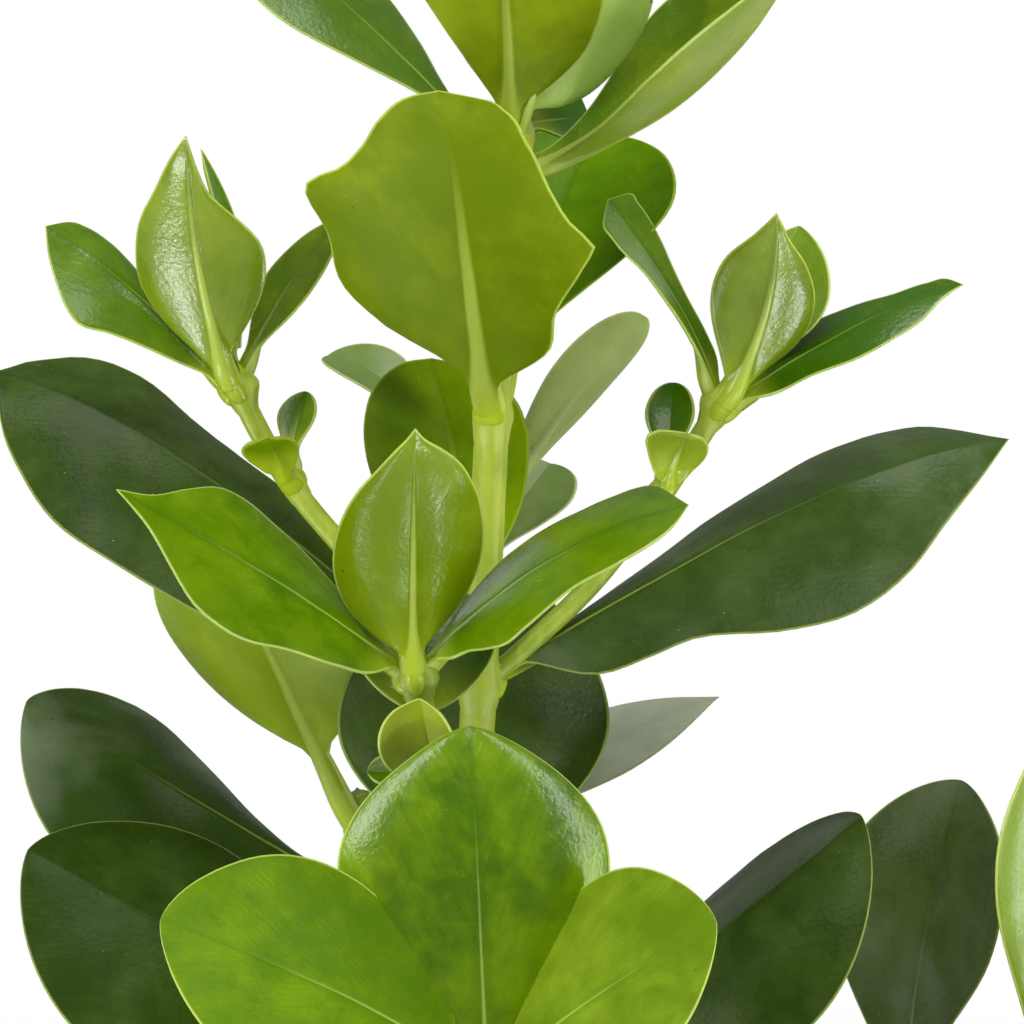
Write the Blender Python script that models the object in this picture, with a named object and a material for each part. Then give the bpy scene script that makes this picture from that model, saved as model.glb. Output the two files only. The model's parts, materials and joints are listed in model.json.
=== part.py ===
"""A young clusia with leathery leaves, three rooted stems in one plain plastic pot filled with soil.

The origin is the centre of the pot's flat bottom, +Z is up and -Y is the side the leaves face.
All the sizes below are in millimetres."""

import math

import bpy
import numpy as np

MM = 0.001
# Clearance between neighbouring solids
GAP = 0.3

# Pot: one moulded plastic shell with a turned-out rim and drain holes in its floor
POT_HEIGHT = 150.0
POT_FOOT_RADIUS = 60.0
POT_SHOULDER_RADIUS = 79.0
POT_RIM_RADIUS = 87.0
POT_RIM_BAND = 20.0
POT_WALL = 3.0
POT_FLOOR = 4.5
POT_SIDES = 72
DRAIN_HOLES = 6
DRAIN_RADIUS = 4.5
DRAIN_CIRCLE = 40.0
DRAIN_TURN = 11.0

# Soil: one block that fills the pot to below its rim, a little domed
SOIL_TOP = 131.0
SOIL_DOME = 3.0

# Stem joints the leaves grow from
JOINTS = {
    "tip3": (1, 0, 476), "tip2": (0, 0, 466), "tip1": (0, 0, 458),
    "upper": (-4, 0, 404), "middle": (-7, 0, 343), "lower": (-10, 0, 286), "low": (-13, 0, 237),
    "base": (-15, 1, 190),
    "front": (-21, -48, 359), "front_low": (-19, -46, 347), "front_foot": (-17, -40, 332),
    "back": (-5, 50, 368), "back_low": (-9, 48, 352),
    "left": (-62, 13, 407), "left_low": (-51, 12, 386),
    "right": (47, 9, 404), "right_low": (35, 9, 384),
    "sprig": (-5, -79, 279),
    "second": (-35, 45, 294), "second_mid": (-33, 45, 276), "second_low": (-28, 44, 205),
    "third": (92, 25, 215), "third_low": (72, 24, 176), "third_right": (122, 0, 232),
}

# Each rooted plant: its stems as (points from root to tip, radius at the root, radius at the tip)
STEMS = {
    "stem_main": [
        ([(-17, 3, 100), (-15, 1, 190), (-13, 0, 237), (-10, 0, 294), (-7, 0, 343), (-4, 0, 404),
          (0, 0, 459), (1, 0, 481)], 4.8, 3.3),
        ([(-7, 0, 340), (-22, 5, 354), (-38, 9, 370), (-51, 12, 386), (-62, 13, 407), (-65, 13, 413)],
         2.2, 2.5),
        ([(-7, 0, 340), (4, 3, 349), (18, 7, 362), (34, 9, 383), (47, 9, 404), (50, 9, 410)], 2.2, 2.5),
        ([(-10, 0, 292), (-12, -22, 312), (-17, -40, 332), (-19, -46, 347), (-21, -48, 359),
          (-22, -49, 365)], 2.6, 3.0),
        ([(-10, 0, 292), (-9, 24, 310), (-8, 44, 334), (-9, 48, 352), (-5, 50, 368), (-4, 50, 373)],
         2.4, 2.3),
        ([(-14, 0, 220), (-11, -35, 230), (-8, -65, 250), (-5, -79, 279), (-4, -81, 285)], 3.0, 3.0),
    ],
    "stem_second": [
        ([(-22, 40, 100), (-27, 43, 190), (-28, 44, 205), (-33, 45, 276), (-35, 45, 294),
          (-36, 45, 301)], 3.8, 2.6),
    ],
    "stem_third": [
        ([(36, 22, 100), (54, 24, 140), (72, 24, 176), (92, 25, 215), (95, 25, 222)], 3.8, 2.8),
        ([(71, 24, 172), (92, 16, 196), (112, 6, 216), (122, 0, 232), (124, -1, 238)], 2.4, 2.6),
    ],
}
STEM_SIDES = 10
JOINT_SWELLING = 0.16
JOINT_LENGTH = 5.0
BLUNT_TIP = 0.55

# Leaf blades: how thick they are, and how far the midrib stands out below them
BLADE = 0.8
STALK_THICKNESS = 3.0
MIDRIB = 1.0
RINGS = 10
# How far from the stem's centre line a leaf's stalk starts
STALK_SEAT = 1.6

# How every leaf is shaped unless its own row says otherwise. Lengths in millimetres, angles in degrees.
#   width; widest: share of the blade's length at which it is widest; base, tip_end: from slender (1) to
#   blunt (.3) ends; lean: how much wider the right half is than the left
#   stalk: share of the whole length that is stalk; stalk_half: half its width
#   turn: how far the upper side is turned about the leaf's length; twist: more turn from base to tip
#   rise, droop: bend of the base and of the tip; sway: sideways bend
#   fold: how far the two halves stand up from the midrib; cup: how far they curl up (below 0, down) at
#   the base, and cup_tip at the tip (half of cup if None)
#   wave, waves, phase: height, number and start of the ripples along the margins
USUAL = dict(turn=0, width=40, widest=.6, base=.95, tip_end=.62, rise=12, droop=12, fold=4, cup=30,
             cup_tip=None, twist=0, sway=0, stalk=.12, stalk_half=2.0, wave=0, waves=1.5, phase=0,
             lean=0, left=None, right=None)

# Leaves: name, joint, position of the tip, and what is special about the shape. left and right list
# (share of the length, half width) for a leaf whose outline is uneven.
LEAVES = [
    # growing tip of the main stem
    ("leaf_crown_left", "tip1", (-64, 40, 508), dict(
        width=34, widest=.62, rise=6, droop=8, cup=-10, fold=-4, turn=-8)),
    ("leaf_crown_right", "tip1", (60, -10, 502), dict(
        width=45, widest=.6, base=.8, rise=-14, droop=-14, cup=12, cup_tip=4, fold=34, turn=14,
        stalk=.03)),
    ("leaf_crown_front", "tip2", (-3, -45, 521), dict(
        rise=20, droop=14, cup=18,
        right=[(.04, 0), (.16, 6), (.34, 14), (.52, 20), (.66, 23), (.78, 21.5), (.9, 14.5), (1, 0)],
        left=[(.04, 0), (.1, 5), (.16, 10.5), (.24, 16), (.34, 19), (.5, 21), (.66, 21.5), (.8, 18),
        (.92, 10), (1, 0)])),
    ("leaf_crown_back", "tip2", (10, 44, 472), dict(width=30)),
    ("leaf_crown_inner", "tip3", (23, -22, 516), dict(
        width=34, widest=.5, base=.6, tip_end=.7, turn=-39, stalk=.1, stalk_half=1, cup=14)),
    ("leaf_crown_small_left", "tip3", (-16, 6, 542), dict(width=22, turn=-60, cup=40, rise=-8)),
    ("leaf_crown_small_right", "tip3", (12, 15, 550), dict(width=20, turn=60, cup=40, rise=-8)),
    # pair on the main stem below the growing tip
    ("leaf_upper_front", "upper", (-15, -45, 482), dict(
        rise=-6, droop=10, cup=8, fold=2, stalk_half=3.4, turn=-10,
        right=[(.09, 0), (.15, 11), (.2, 23), (.25, 29), (.45, 34.5), (.61, 36.5), (.66, 29.5),
        (.74, 23), (.86, 16), (.96, 7), (1, 0)],
        left=[(.09, 0), (.15, 8.5), (.2, 14), (.35, 18.5), (.5, 26), (.57, 28.5), (.61, 25),
        (.7, 21), (.86, 17), (.96, 13), (.985, 9.5), (1, 0)])),
    ("leaf_upper_back", "upper", (18, 52, 454), dict(width=60, widest=.62, tip_end=.5)),
    # back shoot
    ("leaf_back_shoot_front", "back_low", (-18, 30, 407.7), dict(
        cup=12,
        left=[(.02, 0), (.1, 6.5), (.2, 10.5), (.32, 14), (.5, 17), (.68, 18.5), (.82, 17), (.91, 13.5),
        (.97, 8.5), (1, 0)],
        right=[(.02, 0), (.1, 14), (.2, 22), (.3, 25), (.44, 26), (.64, 23.5), (.8, 18), (.9, 12),
        (.96, 6.5), (1, 0)])),
    ("leaf_back_shoot_right", "back", (30, 50, 413), dict(
        width=17, widest=.66, base=.5, tip_end=.42, turn=-60, stalk=.06)),
    ("leaf_back_shoot_low", "back_low", (9, 74, 372), dict(width=26, tip_end=.45, turn=10)),
    ("leaf_back_shoot_left", "back", (-43, 74, 398), dict(
        width=17, widest=.75, tip_end=.5, rise=14, droop=38, turn=-14, stalk_half=1.8)),
    # left shoot
    ("leaf_left_shoot_front", "left", (-70, -5, 465), dict(
        rise=-8, droop=6, cup=26, fold=4, turn=15, sway=8, stalk=.1,
        left=[(.1, 0), (.2, 6.5), (.3, 11), (.44, 14), (.55, 13.5), (.66, 9), (.76, 4), (.85, 2),
        (1, 0)],
        right=[(.05, 0), (.15, 6.5), (.26, 12.5), (.4, 16), (.5, 15.5), (.64, 13), (.76, 8.5),
        (.88, 4.5), (1, 0)])),
    ("leaf_left_shoot_back", "left", (-68, 16, 458), dict(
        width=9, widest=.5, cup=40, tip_end=.9, stalk_half=1)),
    ("leaf_left_shoot_left", "left", (-103, 20, 440), dict(
        turn=-32, cup=-24, fold=-6,
        left=[(.03, 0), (.2, 5), (.34, 8), (.5, 11.5), (.62, 14.5), (.72, 13), (.82, 9.5), (.92, 5),
        (1, 0)],
        right=[(.03, 0), (.13, 4), (.4, 5.5), (.58, 7), (.76, 9), (.88, 8.5), (.95, 6), (1, 0)])),
    ("leaf_left_shoot_right", "left", (-38, 27, 440), dict(
        width=15, widest=.52, turn=14, cup=0, stalk_half=1.4)),
    ("leaf_left_shoot_small_back", "left_low", (-46, 22, 402), dict(width=9)),
    ("leaf_left_shoot_small_front", "left_low", (-53.5, 0, 397), dict(
        turn=20, cup=14, stalk=.02, stalk_half=1.2,
        left=[(.02, 0), (.07, 4), (.16, 5), (.45, 5), (.7, 4), (.86, 2.5), (.96, 1.5), (1, 0)],
        right=[(.02, 0), (.07, 4.5), (.16, 5.5), (.32, 6.5), (.56, 7), (.8, 6.5), (.93, 5), (1, 0)])),
    # right shoot
    ("leaf_right_shoot_front", "right", (57, -5, 448), dict(
        rise=-8, droop=6, cup=26, fold=4, turn=-30, sway=-16, stalk=.08,
        left=[(.06, 0), (.15, 3), (.32, 9.5), (.44, 11.5), (.56, 11), (.7, 8), (.85, 3), (1, 0)],
        right=[(.06, 0), (.15, 4), (.32, 9.5), (.48, 12), (.64, 12), (.76, 10), (.9, 4), (1, 0)])),
    ("leaf_right_shoot_back", "right", (64, 30, 438), dict(
        width=26, widest=.5, cup=36, tip_end=.8, turn=10, rise=-22, stalk=.16, lean=.35)),
    ("leaf_right_shoot_left", "right", (21, 10, 448), dict(
        turn=-28, cup=10, stalk_half=1.5,
        left=[(.03, 0), (.28, 2.5), (.5, 4.5), (.68, 6.5), (.78, 9), (.87, 9.5), (.94, 8.5), (1, 0)],
        right=[(.02, 0), (.12, 3), (.25, 3.5), (.45, 3.5), (.6, 4.5), (.72, 6), (.9, 7), (.96, 6.5),
        (1, 0)])),
    ("leaf_right_shoot_right", "right", (99, 10, 429), dict(
        turn=22, cup=-10, fold=-4,
        right=[(.03, 0), (.11, 4), (.35, 7.5), (.52, 9.5), (.66, 9), (.8, 6.5), (.91, 2), (1, 0)],
        left=[(.03, 0), (.12, 6), (.25, 10), (.42, 11.5), (.56, 9.5), (.72, 6.5), (.88, 6), (.96, 4.5),
        (1, 0)])),
    ("leaf_right_shoot_small_back", "right_low", (36, 22, 404), dict(width=11, tip_end=.5)),
    ("leaf_right_shoot_small_front", "right_low", (38.5, 0, 398), dict(
        turn=-20, cup=14, stalk=.02, stalk_half=1.2,
        left=[(.02, 0), (.07, 3.5), (.2, 5.5), (.36, 7), (.6, 6.5), (.8, 5), (.92, 3), (1, 0)],
        right=[(.02, 0), (.07, 3.5), (.2, 5), (.4, 6.5), (.72, 8), (.86, 7.5), (.95, 5), (1, 0)])),
    # front shoot
    ("leaf_front_shoot_front", "front", (-20, -60, 414), dict(
        stalk_half=1.8,
        left=[(.05, 0), (.1, 2.5), (.15, 6), (.26, 11.5), (.38, 14.5), (.48, 15.5), (.6, 14.5),
        (.76, 9), (.88, 4), (1, 0)],
        right=[(.05, 0), (.1, 6), (.2, 13), (.32, 16.5), (.44, 17), (.56, 15.5), (.76, 9), (.88, 4),
        (1, 0)])),
    ("leaf_front_shoot_left", "front", (-82, -60, 401), dict(
        turn=-30, cup=-6, fold=0, rise=5, droop=5,
        left=[(.03, 0), (.08, 5.5), (.22, 12), (.4, 17), (.5, 20.5), (.6, 21.5), (.68, 20), (.8, 11.5),
        (.88, 5.5), (1, 0)],
        right=[(.03, 0), (.16, 6), (.33, 12), (.5, 17), (.62, 19), (.7, 18), (.8, 11.5), (.88, 5),
        (1, 0)])),
    ("leaf_front_shoot_right", "front", (37, -50, 395), dict(
        turn=13, cup=-16, fold=0, rise=18, droop=20, stalk_half=1.8,
        left=[(.04, 0), (.15, 8), (.25, 13.5), (.35, 17), (.5, 17.5), (.77, 17.5), (.86, 17),
        (.92, 14.5), (1, 0)],
        right=[(.04, 0), (.1, 6), (.18, 10), (.25, 15), (.31, 18), (.4, 17.5), (.6, 14), (.74, 13.5),
        (.86, 11), (.95, 6), (1, 0)])),
    ("leaf_front_shoot_back", "front_low", (-19, -22, 370), dict(
        width=33, widest=.5, base=.5, stalk=.02)),
    ("leaf_front_shoot_rolled", "front_foot", (-22.4, -57, 355), dict(
        width=24, widest=.55, base=.6, tip_end=.5, cup=58, turn=180, rise=22, droop=-8, stalk=.05,
        stalk_half=1.4)),
    ("leaf_front_shoot_small", "front_foot", (-31, -43, 334), dict(width=8, stalk_half=1, turn=-40)),
    # old leaves of the main stem, and those of the second and third stems behind it
    ("leaf_middle_left", "middle", (-118, 50, 400), dict(
        turn=-20, cup=-20, fold=-10, rise=0, droop=22, wave=2.5, waves=2, phase=.15,
        right=[(.06, 0), (.25, 7), (.4, 12), (.55, 17.5), (.7, 22), (.82, 22), (.92, 16), (1, 0)],
        left=[(.06, 0), (.25, 17), (.4, 27), (.55, 32), (.7, 30), (.82, 23), (.92, 14), (1, 0)])),
    ("leaf_middle_right", "middle", (112, 30, 389), dict(
        turn=20, cup=-30, fold=-12, rise=4, droop=20,
        left=[(.06, 0), (.22, 9), (.35, 15), (.5, 21), (.62, 25.5), (.75, 28), (.86, 26), (.94, 18),
        (1, 0)],
        right=[(.06, 0), (.15, 12), (.25, 15.5), (.33, 17), (.48, 26.5), (.6, 30), (.72, 26.5),
        (.83, 17.5), (.94, 7), (1, 0)])),
    ("leaf_lower_back", "lower", (-7, 64, 346), dict(width=64, widest=.48, tip_end=.5, rise=-14)),
    ("leaf_second_right", "second_mid", (49, 70, 316), dict(width=34, turn=10, cup=-10)),
    ("leaf_second_front", "second", (-72, 35, 368), dict(
        width=58, widest=.56, base=.55, turn=45, stalk=.26, cup=10, rise=-4)),
    ("leaf_second_left", "second_mid", (-112, 40, 324), dict(
        width=48, widest=.64, turn=-38, cup=-32, fold=-8, rise=-8, droop=4, lean=-.16)),
    ("leaf_low_left", "low", (-109, 5, 300), dict(width=63, widest=.62, turn=-45, cup=-24, fold=-12)),
    ("leaf_low_right", "low", (78, -5, 311), dict(
        width=57, widest=.62, turn=30, cup=-34, fold=-15, lean=.1)),
    ("leaf_third_back", "third", (104, 40, 305), dict(width=50, widest=.62)),
    ("leaf_third_shoot_front", "third_right", (128, -9, 343), dict(width=32, cup=20)),
    ("leaf_third_shoot_back", "third_right", (142, 40, 330), dict(width=40, cup=10, rise=6)),
    ("leaf_sprig_back", "sprig", (-9, -58, 349), dict(width=60, widest=.55, tip_end=.7, lean=-.04)),
    ("leaf_sprig_left", "sprig", (-72, -95, 319), dict(
        width=57, widest=.53, base=.8, turn=-42, cup=0, fold=0)),
    ("leaf_sprig_right", "sprig", (42, -90, 317), dict(
        width=52, widest=.56, base=.75, turn=38, cup=0, fold=0, rise=8, droop=8, lean=-.08)),
    ("leaf_sprig_front", "sprig", (8, -128, 285), dict(width=44, turn=4, cup=0)),
    # leaves below the shoots, down to the rim of the pot
    ("leaf_second_low_left", "second_low", (-108, 92, 226), dict(width=54, turn=-10, cup=-14, fold=-6)),
    ("leaf_second_low_back", "second_low", (-30, 128, 236), dict(width=50, cup=-14, fold=-6)),
    ("leaf_third_front", "third", (118, -62, 250), dict(width=48, turn=6, cup=-10)),
    ("leaf_third_low_front", "third_low", (92, -78, 196), dict(width=52, turn=6, cup=-14, fold=-6)),
    ("leaf_third_low_back", "third_low", (120, 102, 206), dict(width=52, turn=-6, cup=-14, fold=-6)),
    ("leaf_base_front", "base", (-52, -108, 205), dict(width=54, turn=-4, cup=-14, fold=-6)),
    ("leaf_base_back", "base", (25, 108, 206), dict(width=46, turn=4, cup=-14, fold=-6, rise=4)),
]

# Colours: base colour, roughness
COLOURS = {
    "pot": ((0.035, 0.037, 0.040), .55),
    "soil": ((0.050, 0.030, 0.018), .95),
    "stem": ((0.42, 0.52, 0.10), .45),
    "leaf_young": ((0.16, 0.33, 0.025), .35),
    "leaf_old": ((0.045, 0.10, 0.022), .40),
}
YOUNG = ("crown", "upper", "shoot", "sprig")


def clear_scene():
    for thing in list(bpy.data.objects):
        bpy.data.objects.remove(thing, do_unlink=True)


def finish_for(kind):
    """The material of this kind, made once."""
    found = bpy.data.materials.get(kind)
    if found:
        return found
    colour, roughness = COLOURS[kind]
    made = bpy.data.materials.new(kind)
    made.use_nodes = True
    made.diffuse_color = (*colour, 1)
    shader = made.node_tree.nodes["Principled BSDF"]
    shader.inputs["Base Color"].default_value = (*colour, 1)
    shader.inputs["Roughness"].default_value = roughness
    shader.inputs["Metallic"].default_value = 0
    return made


def make_object(name, points, faces, kind=None):
    """A mesh object from points in millimetres. Without a kind it is a cutter, left out of the render."""
    mesh = bpy.data.meshes.new(name)
    mesh.from_pydata([tuple(p * MM for p in point) for point in points], [], faces)
    mesh.update()
    thing = bpy.data.objects.new(name, mesh)
    bpy.context.scene.collection.objects.link(thing)
    if kind:
        mesh.materials.append(finish_for(kind))
        for face in mesh.polygons:
            face.use_smooth = True
    else:
        thing.hide_render = True
        thing.display_type = "WIRE"
    return thing


def combine(thing, other, how):
    step = thing.modifiers.new(other.name, "BOOLEAN")
    step.operation = how
    step.solver = "EXACT"
    step.object = other


def turned(profile, sides):
    """Points and faces of a solid of revolution. The profile runs from the axis, out, and back to it."""
    points = [(0, 0, profile[0][1])]
    faces = []
    rings = []
    for radius, height in profile[1:-1]:
        rings.append(len(points))
        for k in range(sides):
            angle = 2 * math.pi * k / sides
            points.append((radius * math.cos(angle), radius * math.sin(angle), height))
    last = len(points)
    points.append((0, 0, profile[-1][1]))
    for k in range(sides):
        after = (k + 1) % sides
        faces.append((0, rings[0] + after, rings[0] + k))
        for low, high in zip(rings, rings[1:]):
            faces.append((low + k, low + after, high + after, high + k))
        faces.append((last, rings[-1] + k, rings[-1] + after))
    return points, faces


def pot_radius(height):
    """Outside radius of the pot's tapered wall at this height."""
    share = height / (POT_HEIGHT - POT_RIM_BAND)
    return POT_FOOT_RADIUS + (POT_SHOULDER_RADIUS - POT_FOOT_RADIUS) * share


def make_pot():
    band = POT_HEIGHT - POT_RIM_BAND
    outside = [(0, 0), (POT_FOOT_RADIUS - 2, 0), (pot_radius(2), 2), (pot_radius(band - 1), band - 1),
               (POT_RIM_RADIUS - 1.5, band), (POT_RIM_RADIUS - .6, band + 1),
               (POT_RIM_RADIUS, POT_HEIGHT - 1.2), (POT_RIM_RADIUS - 1, POT_HEIGHT)]
    inside = [(POT_RIM_RADIUS - POT_WALL + 1, POT_HEIGHT), (POT_RIM_RADIUS - POT_WALL, POT_HEIGHT - 1.2),
              (POT_RIM_RADIUS - POT_WALL - .8, band + 5), (pot_radius(band + 2) - POT_WALL, band + 2),
              (pot_radius(POT_FLOOR) - POT_WALL, POT_FLOOR), (0, POT_FLOOR)]
    pot = make_object("pot", *turned(outside + inside, POT_SIDES), "pot")
    for k in range(DRAIN_HOLES):
        angle = 2 * math.pi * k / DRAIN_HOLES + math.radians(DRAIN_TURN)
        x, y = DRAIN_CIRCLE * math.cos(angle), DRAIN_CIRCLE * math.sin(angle)
        column = [(0, -3), (DRAIN_RADIUS, -3), (DRAIN_RADIUS, POT_FLOOR + 3), (0, POT_FLOOR + 3)]
        points, faces = turned(column, 16)
        hole = make_object(f"drain_{k}", [(px + x, py + y, pz) for px, py, pz in points], faces)
        combine(pot, hole, "DIFFERENCE")


def make_soil(cutters):
    """Fills the pot to below the rim, with a socket round each stem."""
    side = [(0, POT_FLOOR + GAP), (pot_radius(POT_FLOOR) - POT_WALL - GAP, POT_FLOOR + GAP),
            (pot_radius(SOIL_TOP - 6) - POT_WALL - GAP, SOIL_TOP - 6),
            (pot_radius(SOIL_TOP - 6) - POT_WALL - 2, SOIL_TOP - 1),
            (pot_radius(SOIL_TOP) * .66, SOIL_TOP + .55 * SOIL_DOME),
            (pot_radius(SOIL_TOP) * .33, SOIL_TOP + .9 * SOIL_DOME), (0, SOIL_TOP + SOIL_DOME)]
    soil = make_object("soil", *turned(side, 48), "soil")
    for cutter in cutters:
        combine(soil, cutter, "DIFFERENCE")


def along(points, count):
    """A smooth curve through these points, as this many points."""
    given = np.array(points, float)
    padded = np.vstack([2 * given[0] - given[1], given, 2 * given[-1] - given[-2]])
    place = np.linspace(0, len(given) - 1, count)
    start = np.minimum(place.astype(int), len(given) - 2)
    t = (place - start)[:, None]
    a, b, c, d = (padded[start + k] for k in range(4))
    return .5 * (2 * b + (c - a) * t + (2 * a - 5 * b + 4 * c - d) * t**2 + (3 * b - a - 3 * c + d) * t**3)


def unit(vector):
    return vector / np.linalg.norm(vector)


def stem_radius(place, share, thick, thin):
    """Radius at this place of a stem that narrows evenly and swells at its joints."""
    nearest = min(np.linalg.norm(place - np.array(joint)) for joint in JOINTS.values())
    swelling = 1 + JOINT_SWELLING * math.exp(-(nearest / JOINT_LENGTH) ** 2)
    return (thick + (thin - thick) * share) * swelling


def stem_solid(points, thick, thin, extra):
    """Points and faces of one round stem with a blunt growing tip."""
    path = along(points, 4 * len(points))
    corners, faces = [], []
    across = np.array([1.0, 0, 0])
    for k, place in enumerate(path):
        ahead = unit(path[min(k + 1, len(path) - 1)] - path[max(k - 1, 0)])
        across = unit(across - across.dot(ahead) * ahead)
        beside = np.cross(ahead, across)
        radius = stem_radius(place, k / (len(path) - 1), thick, thin) + extra
        if k == len(path) - 1:
            radius *= BLUNT_TIP
        for side in range(STEM_SIDES):
            angle = 2 * math.pi * side / STEM_SIDES
            corners.append(place + radius * (math.cos(angle) * across + math.sin(angle) * beside))
    for k in range(len(path) - 1):
        for side in range(STEM_SIDES):
            after = (side + 1) % STEM_SIDES
            low, high = k * STEM_SIDES, (k + 1) * STEM_SIDES
            faces.append((low + side, low + after, high + after, high + side))
    faces.append(tuple(reversed(range(STEM_SIDES))))
    faces.append(tuple((len(path) - 1) * STEM_SIDES + side for side in range(STEM_SIDES)))
    return corners, faces


def make_stem(name, branches, extra=0.0):
    """One plant's stem with its side shoots joined on. With extra, the cutter that seats the leaves."""
    label = name if not extra else name + "_seat"
    whole = make_object(label, *stem_solid(*branches[0], extra), None if extra else "stem")
    for k, branch in enumerate(branches[1:]):
        combine(whole, make_object(f"{label}_shoot_{k}", *stem_solid(*branch, extra)), "UNION")
    return whole


def eased(low, high, value):
    t = np.clip((value - low) / (high - low), 0, 1)
    return t * t * (3 - 2 * t)


def through(listed, q):
    """A smooth curve through (share, half width) pairs, read at q."""
    at = np.array([pair[0] for pair in listed], float)
    wide = np.array([pair[1] for pair in listed], float)
    slope = np.gradient(wide, at)
    k = np.clip(np.searchsorted(at, q) - 1, 0, len(at) - 2)
    span = at[k + 1] - at[k]
    t = np.clip((q - at[k]) / span, 0, 1)
    return ((2 * t**3 - 3 * t**2 + 1) * wide[k] + (t**3 - 2 * t**2 + t) * span * slope[k]
            + (3 * t**2 - 2 * t**3) * wide[k + 1] + (t**3 - t**2) * span * slope[k + 1])


def half_width(form, q, side):
    """Half width of the leaf at each share q of its length, on its left (-1) or right (+1)."""
    listed = form["left"] if side < 0 else form["right"]
    if listed:
        blade = np.maximum(through(listed, q), 0)
    else:
        share = np.clip((q - form["stalk"]) / (1 - form["stalk"]), 0, 1)
        slender = form["base"] + (form["tip_end"] - form["base"]) * eased(.35, .95, share)
        power = math.log(.5) / math.log(form["widest"])
        blade = .5 * form["width"] * np.maximum(np.sin(np.pi * share**power), 0) ** slender
        blade = blade * (1 + side * form["lean"])
    stalk = form["stalk_half"] * (1 - eased(.1, .7, q))
    return np.where(q >= 1, 0, (blade**2.5 + stalk**2.5) ** .4)


def leaf_face(form, start, tip, q, v):
    """Points of a leaf's upper side, q along it 0 to 1 and v across it -1 to 1, and which way is up."""
    reach = np.array(tip, float) - start
    length = np.linalg.norm(reach)
    ahead = reach / length
    up = unit(np.array([0, 0, 1.0]) - ahead[2] * ahead)
    turn = math.radians(form["turn"])
    up = math.cos(turn) * up + math.sin(turn) * np.cross(ahead, up)
    right = np.cross(ahead, up)
    rise, droop, sway = (math.tan(math.radians(form[key])) for key in ("rise", "droop", "sway"))
    first = length / 3 * (ahead + rise * up + sway * right)
    second = reach - length / 3 * (ahead - droop * up - sway * right)
    t = q[..., None]
    middle = 3 * (1 - t) ** 2 * t * first + 3 * (1 - t) * t**2 * second + t**3 * reach
    heading = 3 * (1 - t) ** 2 * first + 6 * (1 - t) * t * (second - first) + 3 * t**2 * (reach - second)
    heading = heading / np.linalg.norm(heading, axis=-1, keepdims=True)
    across = right - (heading @ right)[..., None] * heading
    across = across / np.linalg.norm(across, axis=-1, keepdims=True)
    normal = np.cross(across, heading)
    twist = np.radians(form["twist"] * (q - .4))[..., None]
    across, normal = (np.cos(twist) * across + np.sin(twist) * normal,
                      np.cos(twist) * normal - np.sin(twist) * across)
    half = np.where(v < 0, half_width(form, q, -1), half_width(form, q, 1))
    cup_tip = form["cup"] * .5 if form["cup_tip"] is None else form["cup_tip"]
    cup = np.radians(form["cup"] + (cup_tip - form["cup"]) * q)
    out, raised = np.zeros_like(q), np.zeros_like(q)
    slices = 12
    for k in range(slices):
        slope = math.radians(form["fold"]) + cup * np.abs(v) * (k + .5) / slices
        out = out + np.cos(slope) * np.abs(v) / slices
        raised = raised + np.sin(slope) * np.abs(v) / slices
    ripple = np.sin(2 * math.pi * (form["waves"] * q + form["phase"]) + np.where(v < 0, 0, .6 * math.pi))
    ripple = ripple * form["wave"] * v**2 * eased(.15, .4, q) * np.minimum(1, half / 6)
    face = start + middle + across * (np.sign(v) * half * out)[..., None]
    return face + normal * (half * raised + ripple)[..., None], normal


def joint_of(name, tip):
    """Where a leaf's stalk leaves its joint: a little inside the stem's side that faces the tip."""
    joint = np.array(JOINTS[name], float)
    ahead = np.array([0, 0, 1.0])
    for branches in STEMS.values():
        for points, _, _ in branches:
            for k, point in enumerate(points[:-1]):
                if np.linalg.norm(joint - np.array(point)) < .5:
                    ahead = unit(np.array(points[k + 1], float) - np.array(points[max(k - 1, 0)], float))
    outward = np.array(tip, float) - joint
    outward = unit(outward - outward.dot(ahead) * ahead)
    return joint + STALK_SEAT * outward


def leaf_solid(form, start, tip):
    """Points and faces of one whole leaf: stalk, midrib and blade."""
    spots = .5 - .5 * np.cos(math.pi * np.arange(RINGS) / RINGS)
    ring_v = np.array([-1, -.5, 0, .5, 1, .5, 0, -.5])
    below = np.array([0, 0, 0, 0, 0, 1, 1, 1])
    corners, faces = [], []
    for q in spots:
        face, normal = leaf_face(form, start, tip, np.full(8, q), ring_v)
        stalk = 1 - float(eased(.06, .3, q))
        blade = BLADE + (STALK_THICKNESS - BLADE) * stalk
        depth = np.where(ring_v == 0, blade + MIDRIB * (1 - .7 * q), blade * .92)
        corners.extend(face - normal * (below * depth)[:, None])
    face, _ = leaf_face(form, start, tip, np.array([1.0]), np.array([0.0]))
    corners.append(face[0])
    for k in range(RINGS - 1):
        for side in range(8):
            after = (side + 1) % 8
            faces.append((k * 8 + side, k * 8 + after, (k + 1) * 8 + after, (k + 1) * 8 + side))
    last = (RINGS - 1) * 8
    for side in range(8):
        faces.append((last + side, last + (side + 1) % 8, len(corners) - 1))
    faces.append(tuple(reversed(range(8))))
    return corners, faces


def make_leaf(name, joint, tip, special, seat):
    form = {**USUAL, **special}
    kind = "leaf_young" if any(word in name for word in YOUNG) else "leaf_old"
    leaf = make_object(name, *leaf_solid(form, joint_of(joint, tip), tip), kind)
    combine(leaf, seat, "DIFFERENCE")


def stem_of(joint):
    return "stem_" + (joint.split("_")[0] if joint.startswith(("second", "third")) else "main")


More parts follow.
